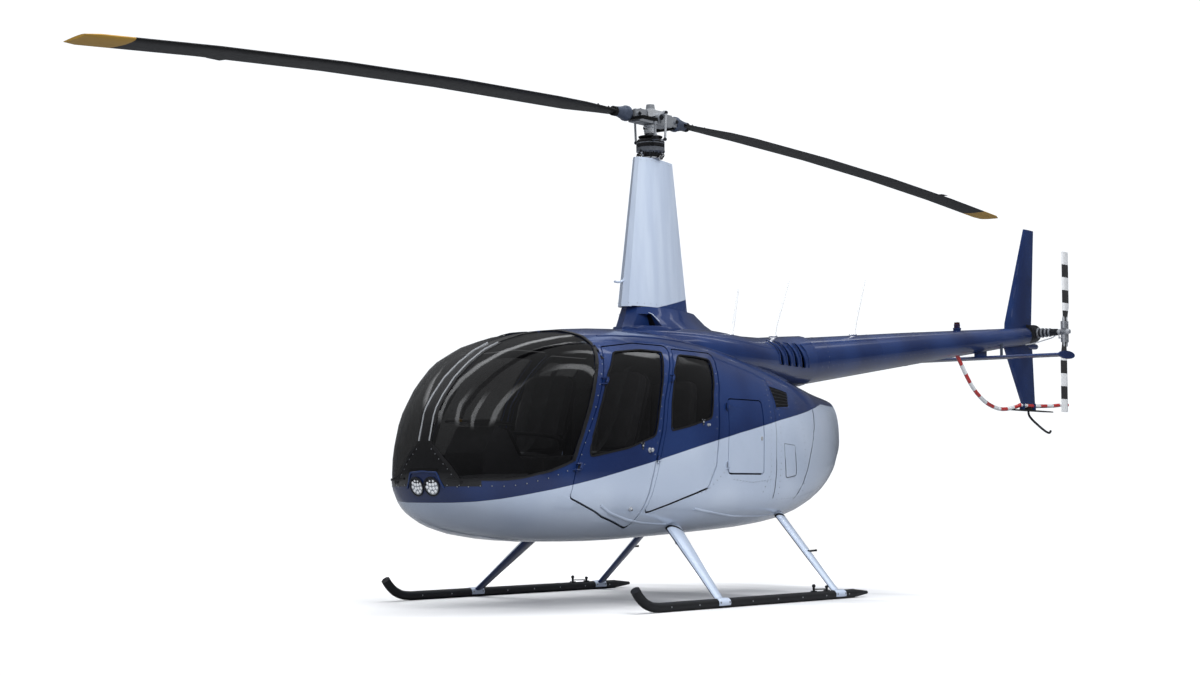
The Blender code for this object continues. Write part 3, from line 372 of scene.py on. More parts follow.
def beacon_finish():
    """Dark glass under a pale cap."""
    finish = Finish("beacon_glass")
    cap = finish.z > 2.289
    grain = finish.noise(40)
    glass = finish.mix(grain, rgb(30, 9, 10), rgb(52, 15, 15))
    pale = finish.mix(grain, rgb(186, 190, 194), WHITE)
    finish.set(Base_Color=finish.mix(cap, glass, pale), Roughness=0.14, Coat_Weight=1.0)
    return finish.material


def strut_paint():
    """Pale paint, with navy on the face that looks inboard: painted shade under the belly."""
    finish = Finish("strut_shaded_inboard")
    inboard = (finish.out("ShaderNodeSeparateXYZ", Vector=finish.normal) * finish.x) < 0.0
    cloud = finish.noise(3.0, 2.0)
    pale, navy = finish.mix(cloud, PALE_SHADE, PALE), finish.mix(cloud, NAVY, NAVY_LIT)
    clear_coated(finish, finish.mix(inboard, pale, navy), metal=0.15)
    return finish.material


GUARD_BANDS, TAIL_BLADE_BANDS, MAIN_BLADE = guard_bands(), banded_blade(), main_blade()
STRUT_PAINT, SWASHPLATE, BEACON = strut_paint(), swashplate_finish(), beacon_finish()
print("banded and two-sided finishes:", 6)

# %% [markdown]
# ## Glass, metals, rubber and cloth
# Tinted acrylic is seen mostly by what it mirrors. A dark base with partial alpha lets some of the cabin
# through, and a full clear coat keeps the mirror. Metals differ by roughness and by the direction of their
# scratches, so each gets a noise stretched its own way.

# %% Glass and lamp lens
def tinted_glass():
    finish = Finish("tinted_acrylic")
    haze = finish.soft(finish.noise(3.0, 2.0), 0.3, 0.7)
    finish.set(Base_Color=finish.mix(haze, rgb(3, 3, 4), rgb(8, 8, 9)), Roughness=0.02 + haze * 0.02,
               Alpha=0.42 + haze * 0.05, Coat_Weight=1.0, Coat_Roughness=0.0)
    finish.shader.inputs["IOR"].default_value = 1.49
    finish.shader.inputs["Coat IOR"].default_value = 1.7
    finish.bump(finish.noise(1.5, 2.0), 0.004, 0.25)
    return finish.material


def lamp_glass(name, colour, painted_glow):
    finish = Finish(name)
    cell = finish.out("ShaderNodeTexVoronoi", Scale=42.0)
    glow = finish.soft(cell, 0.15, 0.45)
    # The emission is painted light: a faint glow stands for the light that the lens and its reflector cells
    # throw back.
    finish.set(Base_Color=finish.mix(glow, WHITE, colour), Roughness=0.12, Coat_Weight=1.0,
               Emission_Color=finish.mix(glow, WHITE, colour))
    finish.shader.inputs["Emission Strength"].default_value = painted_glow
    finish.bump(cell, 0.002, 0.6)
    return finish.material


def rough(name, dark, light, roughness, scale=60.0, metal=0.0, stretch=None, depth=0.0006, coat=0.0):
    """A plain surface with a grain: its colour, roughness and height all follow one noise."""
    finish = Finish(name)
    grain = finish.noise(scale, 4.0, stretch)
    finish.set(Base_Color=finish.mix(grain, dark, light), Roughness=roughness - 0.1 + grain * 0.2,
               Metallic=metal, Coat_Weight=coat)
    finish.bump(grain, depth, 0.5)
    return finish.material


def leather():
    finish = Finish("seat_leather")
    pores = finish.out("ShaderNodeTexVoronoi", Scale=380.0)
    fold = finish.noise(9.0, 4.0)
    finish.set(Base_Color=finish.mix(fold, rgb(50, 50, 54), rgb(78, 77, 80)), Roughness=0.42 + fold * 0.18)
    finish.bump(pores * 0.25 + fold, 0.0015, 0.6)
    return finish.material


def weave():
    finish = Finish("harness_webbing")
    thread = finish.x.wave(0.0024) * finish.z.wave(0.0024) + finish.y.wave(0.0024)
    colour = finish.mix(finish.soft(thread, -1, 1), rgb(48, 49, 52), rgb(84, 85, 88))
    finish.set(Base_Color=colour, Roughness=0.8)
    finish.bump(thread, 0.0005, 0.6)
    return finish.material


GLASS = tinted_glass()
LAMP_LENS = lamp_glass("lamp_lens", rgb(136, 143, 152), 0.06)
LAMP_CELL = lamp_glass("lamp_cell", rgb(226, 230, 235), 0.25)
FRAME_BLACK = rough("frame_black", rgb(16, 16, 18), rgb(32, 32, 34), 0.42, 26, coat=0.25)
RUBBER = rough("seal_rubber", rgb(12, 12, 13), rgb(24, 24, 25), 0.7, 120)
SKID_BLACK = rough("skid_black", rgb(15, 16, 18), rgb(34, 35, 38), 0.5, 34, stretch=(3, 0.6, 3), depth=0.001)
# Deep black is painted shade: it stands in gaps, bores and mouths, and behind the inlet screens and the
# louvres, where there is only shade.
DARK = rough("painted_shade_black", rgb(6, 6, 7), rgb(14, 14, 15), 0.8)
STEEL = rough("machined_steel", rgb(128, 132, 138), rgb(186, 190, 196), 0.34, 70, 0.6, (1, 1, 8))
BRIGHT = rough("polished_alloy", rgb(176, 180, 186), rgb(220, 223, 228), 0.2, 40, 0.55, (1, 1, 6))
CUFF_GREY = rough("cuff_grey", rgb(58, 66, 82), rgb(92, 101, 120), 0.4, 50, 0.5)
DARK_STEEL = rough("dark_steel", rgb(40, 42, 46), rgb(78, 80, 86), 0.42, 50, 0.8)
EXHAUST = rough("heated_steel", rgb(110, 92, 78), rgb(164, 158, 156), 0.38, 12, 0.9, (1, 1, 3))
TRIM = rough("cabin_trim", rgb(44, 44, 48), rgb(64, 64, 68), 0.66, 300)
CARPET = rough("cabin_carpet", rgb(26, 27, 30), rgb(48, 49, 53), 0.95, 700, depth=0.002)
LEATHER, WEBBING = leather(), weave()
print("finishes so far:", len(bpy.data.materials))

# %% Finishes go onto the solids
FINISH_OF = {
    TWO_TONE: ("cabin_shell", "engine_bay_shell", "door_front_left", "door_front_right", "door_rear_left",
               "door_rear_right", "baggage_door"),
    COWL_PAINT: ("upper_cowl",), BOOM_PAINT: ("tailcone",), FAIRING_PAINT: ("mast_fairing",),
    NAVY_PAINT: ("fin_upper", "fin_lower", "stabiliser"),
    STRUT_PAINT: ("strut_front_left", "strut_rear_left", "strut_front_right", "strut_rear_right"),
    GLASS: ("windshield_left", "windshield_right", "window_front_left", "window_front_right",
            "window_rear_left", "window_rear_right"),
    LAMP_LENS: ("landing_light_left", "landing_light_right"), BEACON: ("beacon",),
    SKID_BLACK: ("skid_left", "skid_right", "tail_skid"), GUARD_BANDS: ("tail_guard",),
    MAIN_BLADE: ("main_blade_front", "main_blade_aft"),
    TAIL_BLADE_BANDS: ("tail_blade_upper", "tail_blade_lower"),
    STEEL: ("rotor_hub", "rotor_shaft", "pitch_link_front", "pitch_link_aft", "tail_hub"),
    SWASHPLATE: ("swashplate_fixed", "swashplate_turning"),
    DARK_STEEL: ("tail_gearbox", "engine_block", "firewall"),
    EXHAUST: ("exhaust_pipe",), CARPET: ("cabin_floor",), FRAME_BLACK: ("cyclic_stick",),
    TRIM: ("instrument_console", "baggage_bulkhead"),
    LEATHER: ("seat_front_left", "seat_front_right", "seat_rear_bench"),
}
for finish, names in FINISH_OF.items():
    for name in names:
        NODES[name].data.materials.clear()
        NODES[name].data.materials.append(finish)
bare = sorted(set(NODES) - {name for names in FINISH_OF.values() for name in names})
print("solids without a finish:", bare)

# %% Round solids shade as round
SHARP_FROM = 32  # degrees between two faces from which their edge stays sharp


def smooth_by_angle():
    """One node group: weld the corners that faces share, then keep only the steep edges sharp."""
    group = bpy.data.node_groups.new("smooth_by_angle", "GeometryNodeTree")
    for way in ("INPUT", "OUTPUT"):
        group.interface.new_socket("Geometry", in_out=way, socket_type="NodeSocketGeometry")
    kinds = ("NodeGroupInput", "GeometryNodeMergeByDistance", "GeometryNodeSetShadeSmooth",
             "GeometryNodeSetShadeSmooth", "GeometryNodeInputMeshEdgeAngle", "ShaderNodeMath",
             "NodeGroupOutput")
    start, weld, round_off, crease, angle, steep, end = (group.nodes.new(kind) for kind in kinds)
    weld.inputs["Distance"].default_value = 1e-5
    crease.domain, crease.inputs["Shade Smooth"].default_value = "EDGE", False
    steep.operation, steep.inputs[1].default_value = "GREATER_THAN", math.radians(SHARP_FROM)
    for source, target in ((start, weld), (weld, round_off), (round_off, crease)):
        group.links.new(source.outputs[0], target.inputs["Geometry"])
    group.links.new(angle.outputs["Unsigned Angle"], steep.inputs[0])
    group.links.new(steep.outputs[0], crease.inputs["Selection"])
    group.links.new(crease.outputs[0], end.inputs[0])
    return group


SMOOTH = smooth_by_angle()
for node in NODES.values():
    node.modifiers.new("smooth", "NODES").node_group = SMOOTH
print("smoothed solids:", len(NODES))

# %% [markdown]
# ## Finding places on the skin
# Seals and rivets have to lie exactly on curved panels. A ray cast at the solids gives the point and the
# normal there. Panels have gaps between them, so five close rays are cast and the outermost hit counts.

# %% Rays at the solids
def at(x, y, z):
    """A place measured from the mast, in the frame's own axes."""
    return Vector((x, y - MAST_Y, z))


def surface_of(*names):
    points, faces = [], []
    for name in names:
        mesh = NODES[name].data
        faces += [[v + len(points) for v in polygon.vertices] for polygon in mesh.polygons]
        points += [v.co.copy() for v in mesh.vertices]
    return BVHTree.FromPolygons(points, faces)


SKIN = surface_of(*FINISH_OF[TWO_TONE], *FINISH_OF[GLASS])


def spot_on(surface, start, aim):
    """The outermost hit of five close rays, as (place, normal)."""
    aim = Vector(aim).normalized()
    wide = aim.orthogonal().normalized()
    tall = aim.cross(wide)
    best = None
    for across, up in ((0, 0), (0.012, 0), (-0.012, 0), (0, 0.012), (0, -0.012)):
        place, normal, _, distance = surface.ray_cast(Vector(start) + wide * across + tall * up, aim)
        if place and normal.dot(aim) < -0.2 and (best is None or distance < best[0] - 0.003):
            best = (distance, normal)
    if best is None:
        return None
    return Vector(start) + aim * best[0], best[1]


def rounded_loop(points, radius):
    """A closed outline whose corners are curves of four short lines each."""
    corners = [Vector(p) for p in points]
    made = []
    for k, corner in enumerate(corners):
        before, after = corners[k - 1] - corner, corners[(k + 1) % len(corners)] - corner
        start = corner + before.normalized() * min(radius, before.length * 0.45)
        end = corner + after.normalized() * min(radius, after.length * 0.45)
        for t in (0, 0.25, 0.5, 0.75, 1):
            made.append(start * (1 - t) ** 2 + corner * 2 * t * (1 - t) + end * t * t)
    return made


def walk(points, step, closed=False):
    """The same line in equal steps."""
    points = [Vector(p) for p in points]
    if closed:
        points.append(points[0])
    lengths = np.cumsum([0] + [(b - a).length for a, b in zip(points, points[1:])])
    count = max(2, int(round(lengths[-1] / step)))
    spots = np.linspace(0, lengths[-1], count + 1)[: count if closed else count + 1]
    columns = [np.interp(spots, lengths, [p[k] for p in points]) for k in range(len(points[0]))]
    return [Vector(p) for p in zip(*columns)]


def on_side(points, side, step=0.03, closed=False, surface=None):
    """Stations on the skin, for an outline of (y, z) pairs seen from one side."""
    line = walk(points, step, closed)
    found = [spot_on(surface or SKIN, at(side * 1.7, y, z), (-side, 0, 0)) for y, z in line]
    return [hit for hit in found if hit]


def near_skin(points, side=1, step=0.03):
    """Stations on the skin nearest to a line of rough places (x, y, z)."""
    found = []
    for x, y, z in walk(points, step):
        rough_place = at(side * x, y, z)
        middle = at(0, min(0.9, max(-1.75, y)), 1.15)
        away = (rough_place - middle).normalized()
        hit = spot_on(SKIN, rough_place + away * 0.4, -away)
        if hit:
            found.append(hit)
    return found


print("skin ready:", spot_on(SKIN, at(1.7, -0.95, 1.05), (-1, 0, 0))[0])

# %% [markdown]
# ## One maker for small forms
# A fitting is many small closed forms: a swept strip, a turned bolt, a rod, a plate. They are gathered in one
# object per material and body, so the part has few objects and each still moves with its own door or rotor.

# %% Basic forms: loft, swept strip, turned form, plate and box
SINK = 0.0015  # how deep a strip reaches into the skin, so that no slit shows below it


class Form:
    """Corners and faces of many closed forms, gathered for one mesh."""

    def __init__(self):
        self.points, self.faces = [], []

    def add(self, points, faces):
        base = len(self.points)
        self.points += [tuple(p) for p in points]
        self.faces += [[base + v for v in face] for face in faces]
        return self

    def loft(self, rings, closed=False):
        """A skin over rings with equal counts of points, with flat ends unless it is closed."""
        count, many = len(rings[0]), len(rings)
        faces = []
        for i in range(many if closed else many - 1):
            j = (i + 1) % many
            for k in range(count):
                m = (k + 1) % count
                faces.append((i * count + k, i * count + m, j * count + m, j * count + k))
        if not closed:
            faces += [tuple(range(count))[::-1], tuple((many - 1) * count + k for k in range(count))]
        return self.add([p for ring in rings for p in ring], faces)

    def strip(self, stations, width, height, closed=False):
        """A low rounded bar along stations of (place, normal)."""
        shoulder = height * 0.55
        profile = ((-0.5, -SINK), (-0.5, shoulder), (-0.28, height), (0.28, height), (0.5, shoulder),
                   (0.5, -SINK))
        if len(stations) < 2:
            return self
        rings, many = [], len(stations)
        for k, (place, normal) in enumerate(stations):
            ahead = stations[(k + 1) % many if closed else min(k + 1, many - 1)][0]
            behind = stations[k - 1 if closed else max(k - 1, 0)][0]
            across = (ahead - behind).cross(normal).normalized()
            rings.append([place + across * (s * width) + normal * up for s, up in profile])
        return self.loft(rings, closed)

    def turned(self, place, axis, profile, count=12):
        """profile: (radius, distance along axis) pairs, from one end to the other."""
        axis = Vector(axis).normalized()
        wide = axis.orthogonal().normalized()
        tall = axis.cross(wide)
        spokes = [wide * math.cos(a) + tall * math.sin(a) for a in angles(count)]
        rings = [[Vector(place) + axis * along + spoke * max(radius, 2e-5) for spoke in spokes]
                 for radius, along in profile]
        return self.loft(rings)

    def plate(self, outline, along):
        """A flat outline of places, made as thick as the vector along."""
        return self.loft([[Vector(p) for p in outline], [Vector(p) + Vector(along) for p in outline]])

    def box(self, low, high, chamfer=0.0):
        """A block between two corners. A chamfer cuts its edges off."""
        (x0, y0, z0), (x1, y1, z1) = low, high
        if not chamfer:
            return self.loft([[(x0, y0, z), (x1, y0, z), (x1, y1, z), (x0, y1, z)] for z in (z0, z1)])
        cut, rings = chamfer * 0.6, []
        for z, inset in ((z0, chamfer), (z0 + chamfer, 0), (z1 - chamfer, 0), (z1, chamfer)):
            a0, a1, b0, b1 = x0 + inset, x1 - inset, y0 + inset, y1 - inset
            rings.append([(a0 + cut, b0, z), (a1 - cut, b0, z), (a1, b0 + cut, z), (a1, b1 - cut, z),
                          (a1 - cut, b1, z), (a0 + cut, b1, z), (a0, b1 - cut, z), (a0, b0 + cut, z)])
        return self.loft(rings)


def angles(count, start=0.0):
    """Equal steps of a full turn, in radians. start: how far the first one is turned, in steps."""
    return [2 * math.pi * (k + start) / count for k in range(count)]


def polar(radius, angle, z):
    """A place at a radius from the mast."""
    return at(radius * math.cos(angle), radius * math.sin(angle), z)


# %% Rods, balls, bolts and rows of rivets
class Fittings(Form):
    def rod(self, start, end, radius):
        span = Vector(end) - Vector(start)
        return self.turned(start, span, ((radius, 0), (radius, span.length)), 10)

    def dome(self, place, normal, radius):
        """A rivet's head, 0.6 radii high."""
        height = radius * 0.6
        profile = ((radius, -0.0008), (radius, height * 0.2), (radius * 0.72, height * 0.75),
                   (radius * 0.25, height))
        return self.turned(place, normal, profile, 8)

    def ball(self, place, radius):
        turns = np.linspace(0.05, math.pi - 0.05, 7)
        profile = [(radius * math.sin(a), -radius * math.cos(a)) for a in turns]
        return self.turned(place, (0, 0, 1), profile, 10)

    def bolt(self, place, normal, radius):
        """A washer, a hexagon head and the end of its shank."""
        washer = ((radius * 1.5, -0.001), (radius * 1.5, radius * 0.3), (radius * 1.2, radius * 0.35))
        self.turned(place, normal, washer, 12)
        self.turned(place, normal, ((radius, 0), (radius, radius), (radius * 0.85, radius * 1.15)), 6)
        return self.turned(place, normal, ((radius * 0.5, 0), (radius * 0.45, radius * 1.6)), 8)

    def rivets(self, stations, gap, radius=0.0032, offset=0.0):
        """Domed heads a gap apart along the stations, or beside them by an offset."""
        spots = [s[0] for s in stations]
        line = walk(spots, gap)
        for k, place in enumerate(line):
            near = min(range(len(spots)), key=lambda i: (spots[i] - place).length_squared)
            normal = stations[near][1]
            ahead = line[min(k + 1, len(line) - 1)] - line[max(k - 1, 0)]
            shift = ahead.cross(normal).normalized() * offset if offset else Vector()
            self.dome(place + shift, normal, radius)
        return self


# %% From gathered forms to an object that rides on its body
def show(mesh, finish, body):
    """An object with its mesh's name, shaded smooth, in the scene and riding on its body."""
    mesh.polygons.foreach_set("use_smooth", [True] * len(mesh.polygons))
    mesh.materials.append(finish)
    made = bpy.data.objects.new(mesh.name, mesh)
    bpy.context.scene.collection.objects.link(made)
    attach(made, body)
    print(f"{mesh.name}: {len(mesh.polygons)} faces, rides on {body}")
    return made


class Piece(Fittings):
    def done(self, name, finish, body="airframe", smooth=SHARP_FROM):
        mesh = bpy.data.meshes.new(name)
        mesh.from_pydata(self.points, [], self.faces)
        form = bmesh.new()
        form.from_mesh(mesh)
        bmesh.ops.recalc_face_normals(form, faces=form.faces)
        form.to_mesh(mesh)
        form.free()
        made = show(mesh, finish, body)
        mesh.set_sharp_from_angle(angle=math.radians(smooth))
        return made


HANDS = (("left", 1), ("right", -1))

# %% [markdown]
# ## Windows, seals and the windshield's frame
# Each pane sits in a black rubber channel with round corners. The windshield has a broader black frame, with
# a bright bead along the centre bow, and a row of screws holds it down.

# %% Seals round the panes, whose outlines are y and z pairs
PANES = {
    "front": ((-1.16, 1.700), (-1.31, 1.537), (-1.447, 1.300), (-1.53, 1.105), (-1.55, 0.995), (-1.16, 1.060),
              (-0.875, 1.145), (-0.80, 1.389), (-0.70, 1.610), (-0.635, 1.728), (-0.86, 1.732)),
    "rear": ((-0.455, 1.716), (-0.575, 1.603), (-0.672, 1.392), (-0.705, 1.180), (-0.49, 1.219),
             (-0.227, 1.281), (-0.18, 1.450), (-0.125, 1.590), (-0.085, 1.700), (-0.24, 1.714)),
}
PANE_CORNER, SEAL_WIDTH, SEAL_HEIGHT = 0.03, 0.013, 0.0030
for hand, side in HANDS:
    for name, outline in PANES.items():
        ring = on_side(rounded_loop(outline, PANE_CORNER), side, 0.022, closed=True)
        seal = Piece().strip(ring, SEAL_WIDTH, SEAL_HEIGHT, closed=True)
        seal.done(f"seal_window_{name}_{hand}", RUBBER, f"door_{name}_{hand}_body")

# %% Stations over the nose, across the roof and along its rail
SILL = ((0.19, -2.330, 0.856), (0.395, -2.245, 0.850), (0.556, -2.047, 0.857), (0.634, -1.897, 0.895),
        (0.683, -1.758, 0.94), (0.699, -1.69, 0.97))
PILLAR = ((0.699, -1.69, 0.97), (0.709, -1.60, 1.165), (0.683, -1.46, 1.465), (0.619, -1.355, 1.637),
          (0.541, -1.295, 1.745))


def towards(middles_and_aims, reach):
    """Stations where rays meet the skin on their way back to a middle point, each from a reach away."""
    hits = [spot_on(SKIN, middle + away * reach, -away) for middle, away in middles_and_aims]
    return [hit for hit in hits if hit]


def sideways(degrees, side):
    """A direction in the plane across the cabin: 0 is level to one side, 90 straight up."""
    return Vector((side * math.cos(math.radians(degrees)), 0, math.sin(math.radians(degrees))))


def bow_line(x, low, high):
    """Over the nose at one x: angles from level ahead, up and over."""
    turns = [math.radians(angle) for angle in np.arange(low, high, 4.0)]
    return towards([(at(x, -1.55, 1.15), Vector((0, -math.cos(a), math.sin(a)))) for a in turns], 2.0)


def roof_edge(side):
    """The windshield's edge across the roof, from the pillar to the bow."""
    return towards([(at(0, -1.295, 1.20), sideways(degrees, side)) for degrees in range(36, 88, 6)], 1.5)


def roof_rail(side):
    """Over the doors and back to the engine bay."""
    return towards([(at(0, y, 1.15), sideways(56, side)) for y in np.arange(-1.16, 1.35, 0.07)], 1.4)


# %% The windshield's frame and its screws
BOW_X, BEAD_X = 0.058, 0.046
NOSE_LEG = ((0.08, -2.33, 1.06), (0.20, -2.33, 0.94), (0.29, -2.30, 0.83))
frame_black, screws, bright = Piece(), Piece(), Piece()
for hand, side in HANDS:
    frame_black.strip(near_skin(SILL, side), 0.015, 0.003)
    frame_black.strip(near_skin(PILLAR, side) + roof_edge(side), 0.028, 0.0035)
    screws.rivets(near_skin([(x, y, z - 0.045) for x, y, z in SILL], side), 0.075, 0.0042)
    screws.rivets(near_skin([(x, y + 0.045, z - 0.01) for x, y, z in PILLAR], side), 0.085, 0.004)
    bow = bow_line(side * BOW_X, 4, 78)
    frame_black.strip(bow, 0.030, 0.004)
    bright.strip(bow_line(side * BEAD_X, -4, 78), 0.006, 0.007)
    screws.rivets(bow, 0.06, 0.0032)
    leg = near_skin(NOSE_LEG, side)
    frame_black.strip(leg, 0.022, 0.003)
    screws.rivets(leg, 0.045, 0.0035, offset=0.022 * side)
frame_black.done("windshield_frame", FRAME_BLACK)
bright.done("bow_bead", BRIGHT)

# %% [markdown]
# ## Rivet rows and panel seams
# Sheet metal shows where frames lie behind it: each row of domes follows one. The rows are tables of rough
# places read from the picture, laid on both sides.

# %% Rows on the cabin and the engine bay
ROWS = (  # each row's places and the gap between its rivets
    (((0.693, -1.42, 0.683), (0.663, -1.301, 0.63), (0.606, -0.999, 0.567)), 0.045),
    (((0.735, -0.60, 0.70), (0.70, -0.28, 0.80), (0.735, -0.10, 0.90)), 0.05),
    (((0.60, 0.60, 1.60), (0.651, 0.56, 1.435), (0.698, 0.52, 1.141), (0.702, 0.51, 0.924),
      (0.69, 0.40, 0.78)), 0.045),
    (((0.60, 0.68, 1.60), (0.64, 0.68, 1.30), (0.66, 0.66, 1.0), (0.62, 0.62, 0.75)), 0.045),
    (((0.72, 0.02, 0.86), (0.71, 0.25, 0.84), (0.70, 0.50, 0.86)), 0.04),
    (((0.60, 1.05, 1.45), (0.60, 1.08, 1.10), (0.58, 1.04, 0.80)), 0.05),
    (((0.66, 0.70, 0.72), (0.60, 1.00, 0.74), (0.50, 1.25, 0.80)), 0.05),
)
SEAMS = (
    ((0.60, 0.64, 1.60), (0.66, 0.62, 1.435), (0.69, 0.60, 1.141), (0.69, 0.585, 0.924), (0.66, 0.55, 0.74)),
    ((0.479, 1.394, 1.392), (0.568, 1.256, 1.157), (0.608, 1.112, 0.929), (0.599, 0.91, 0.727)),
    ((0.67, 0.72, 1.12), (0.64, 0.90, 1.11), (0.63, 0.905, 0.90), (0.66, 0.73, 0.88), (0.67, 0.72, 1.12)),
)
rivets, seams = Piece(), Piece()
for hand, side in HANDS:
    for row, gap in ROWS:
        rivets.rivets(near_skin(row, side), gap, 0.0036)
    for line in SEAMS:
        seams.strip(near_skin(line, side, 0.025), 0.0032, 0.0008)
rivets.done("rivets_cabin", STEEL)
seams.done("panel_seams", RUBBER)
screws.done("frame_screws", STEEL)

# %% Raised beads: the gear fairing lines on the belly, and the roof rail over the doors
BELLY = (
    ((0.693, -1.42, 0.683), (0.663, -1.301, 0.640), (0.63, -1.10, 0.600), (0.606, -0.90, 0.575),
     (0.588, -0.62, 0.561)),
    ((0.678, -0.405, 0.663), (0.645, -0.15, 0.640), (0.611, 0.133, 0.615), (0.58, 0.45, 0.612),
     (0.547, 0.724, 0.625)),
)
beads, rails = Piece(), Piece()
for hand, side in HANDS:
    for line in BELLY:
        beads.strip(near_skin(line, side), 0.020, 0.0045)
    rails.strip(roof_rail(side), 0.016, 0.005)
beads.done("belly_beads", PALE_PAINT)
rails.done("roof_rails", NAVY_PAINT)

# %% [markdown]
# ## Door furniture
# Every door has a round knob, a small latch plate with a lock, and a row of rivets down its rear edge. A knob
# is a turned profile, and a plate is a flat outline made thick. They ride on their own doors.

# %% A knob and a latch
KNOB = ((0.017, -0.002), (0.017, 0.003), (0.008, 0.005), (0.008, 0.016), (0.014, 0.020), (0.0145, 0.027),
        (0.009, 0.032))
LATCH = ((-0.022, 0.024), (0.022, 0.024), (0.012, -0.004), (0.006, -0.028), (-0.006, -0.028),
         (-0.012, -0.004))
LATCH_SCREWS = (LATCH[0], LATCH[1], (0, -0.026))


def on_door(side, y, z):
    return spot_on(SKIN, at(side * 1.7, y, z), (-side, 0, 0))


def add_latch(metal, plate, place, normal):
    """A plate shaped like a shield, its lock and three screws."""
    plate.plate([place + Vector((0, y * 0.9, z * 0.9)) + normal * 0.0005 for y, z in LATCH], normal * 0.003)
    face = place + normal * 0.0035
    metal.turned(face, normal, ((0.007, 0), (0.007, 0.003), (0.005, 0.004)), 12)
    for y, z in LATCH_SCREWS:
        metal.dome(face + Vector((0, y * 0.7, z * 0.7)), normal, 0.0026)


# %% Knobs, latches and rear edges of the four doors, and the baggage door's lock
DOORS = {  # where the knob and the latch are, how large the knob is, and the door's rear edge
    "front": ((-0.946, 1.047), (-1.02, 1.075), 1.0,
              ((-1.03, 0.555), (-0.925, 0.914), (-0.83, 1.18), (-0.785, 1.389), (-0.69, 1.57))),
    "rear": ((-0.279, 1.231), (-0.335, 1.250), 0.6,
             ((-0.30, 0.82), (-0.215, 0.954), (-0.187, 1.13), (-0.150, 1.41), (-0.085, 1.60))),
}
for hand, side in HANDS:
    for name, (knob_spot, latch_spot, size, edge) in DOORS.items():
        metal, plate = Piece(), Piece()
        place, normal = on_door(side, *knob_spot)
        metal.turned(place, normal, [(r * size, h * size) for r, h in KNOB], 16)
        add_latch(metal, plate, *on_door(side, *latch_spot))
        metal.rivets(on_side(edge, side), 0.085, 0.0030)
        body = f"door_{name}_{hand}_body"
        metal.done(f"furniture_door_{name}_{hand}", BRIGHT, body, smooth=40)
        plate.done(f"latch_door_{name}_{hand}", DARK_STEEL, body)
place, normal = on_door(1, 0.39, 1.15)
LOCK = ((0.016, -0.001), (0.016, 0.002), (0.012, 0.004), (0.006, 0.004), (0.005, 0.0025))
Piece().turned(place, normal, LOCK, 16).done("baggage_latch", BRIGHT, "baggage_door_body")

# %% [markdown]
# ## Nose lamps
# Two landing lamps sit in a navy hood under the bow. Each shows two rings of bright cells, and a faint glow
# on the lens and the cells is painted light for what they throw back. The bezel and the cells are turned
# forms set on the solid lens, which is cheaper than a lens cut into facets.

# %% Lamp bezels and cells
LAMP_X, LAMP_Z = 0.067, 0.803  # the middle of a lamp
BEZEL = ((0.0645, -0.004), (0.0645, 0.004), (0.0605, 0.006), (0.0555, 0.004), (0.0545, -0.002))
CELL = ((0.0105, -0.001), (0.0105, 0.0015), (0.0070, 0.0035), (0.0030, 0.0042))
CELL_RINGS = ((0.040, 9), (0.018, 4))  # radius of each ring and its count of cells
bezels, cells = Piece(), Piece()
for hand, side in HANDS:
    front = surface_of("landing_light_" + hand)
    place, normal, _, _ = front.ray_cast(at(side * LAMP_X, -3.2, LAMP_Z), Vector((0, 1, 0)))
    bezels.turned(place, normal, BEZEL, 32)
    wide = normal.orthogonal().normalized()
    for radius, count in CELL_RINGS:
        for angle in angles(count):
            spot = place + Matrix.Rotation(angle, 3, normal) @ wide * radius
            hit = front.ray_cast(spot + normal * 0.05, -normal)
            if hit[0]:
                cells.turned(hit[0], hit[1], CELL, 10)
bezels.done("lamp_bezels", DARK_STEEL)
cells.done("lamp_cells", LAMP_CELL)

# %% The hood's raised edge, and a dark strip of painted shade in the gap over it
HOOD = ((-0.165, -2.33, 0.79), (-0.14, -2.34, 0.835), (-0.115, -2.345, 0.895), (0.0, -2.35, 0.903),
        (0.115, -2.345, 0.895), (0.14, -2.34, 0.835), (0.165, -2.33, 0.79))
# The deep black strip is painted shade in the gap over the hood.
gap = near_skin([(x, -2.345, 0.918 - abs(x) * 0.05) for x in np.linspace(-0.12, 0.12, 9)], 1, 0.02)
Piece().strip(gap, 0.016, 0.003).done("lamp_hood_gap", DARK)
Piece().strip(near_skin(HOOD, 1, 0.02), 0.012, 0.004).done("lamp_hood_edge", NAVY_PAINT)

# %% [markdown]
# ## Vents, drains and grilles
# The engine breathes through a screened opening on each side of the bay, and louvres in the cowl. A dark
# patch laid a hair above the skin with raised ribs reads as a screen at any distance: its black is painted
# shade for the opening behind the screen.

# %% A grid of stations on the skin, and a thin sheet over it
def patch(corners, side):
    """Seven rows of stations on the skin between four corners."""
    a, b, c, d = (Vector(p) for p in corners)
    grid = []
    for u in np.linspace(0, 1, 7):
        row = []
        for v in np.linspace(0, 1, 7):
            rough_place = (a * (1 - u) + b * u) * (1 - v) + (d * (1 - u) + c * u) * v
            row += near_skin([rough_place, rough_place + Vector((0, 0.001, 0))], side, 1.0)[:1]
        grid.append(row)
    return grid


def border(n):
    """The rim of an n by n grid, as (row, column) in order."""
    return ([(i, 0) for i in range(n)] + [(n - 1, k) for k in range(1, n)] +
            [(i, n - 1) for i in range(n - 2, -1, -1)] + [(0, k) for k in range(n - 2, 0, -1)])


def add_sheet(piece, grid):
    """A closed sheet, from 1.5 mm below the grid to 1.6 mm above it."""
    n = len(grid)
    points = [p + m * up for up in (0.0016, -0.0015) for row in grid for p, m in row]
    base, faces = n * n, []
    for i in range(n - 1):
        for k in range(n - 1):
            q = (i * n + k, (i + 1) * n + k, (i + 1) * n + k + 1, i * n + k + 1)
            faces += [q, tuple(base + v for v in q)[::-1]]
    loop = [i * n + k for i, k in border(n)]
    faces += [(p, base + p, base + q, q) for p, q in zip(loop, loop[1:] + loop[:1])]
    piece.add(points, faces)


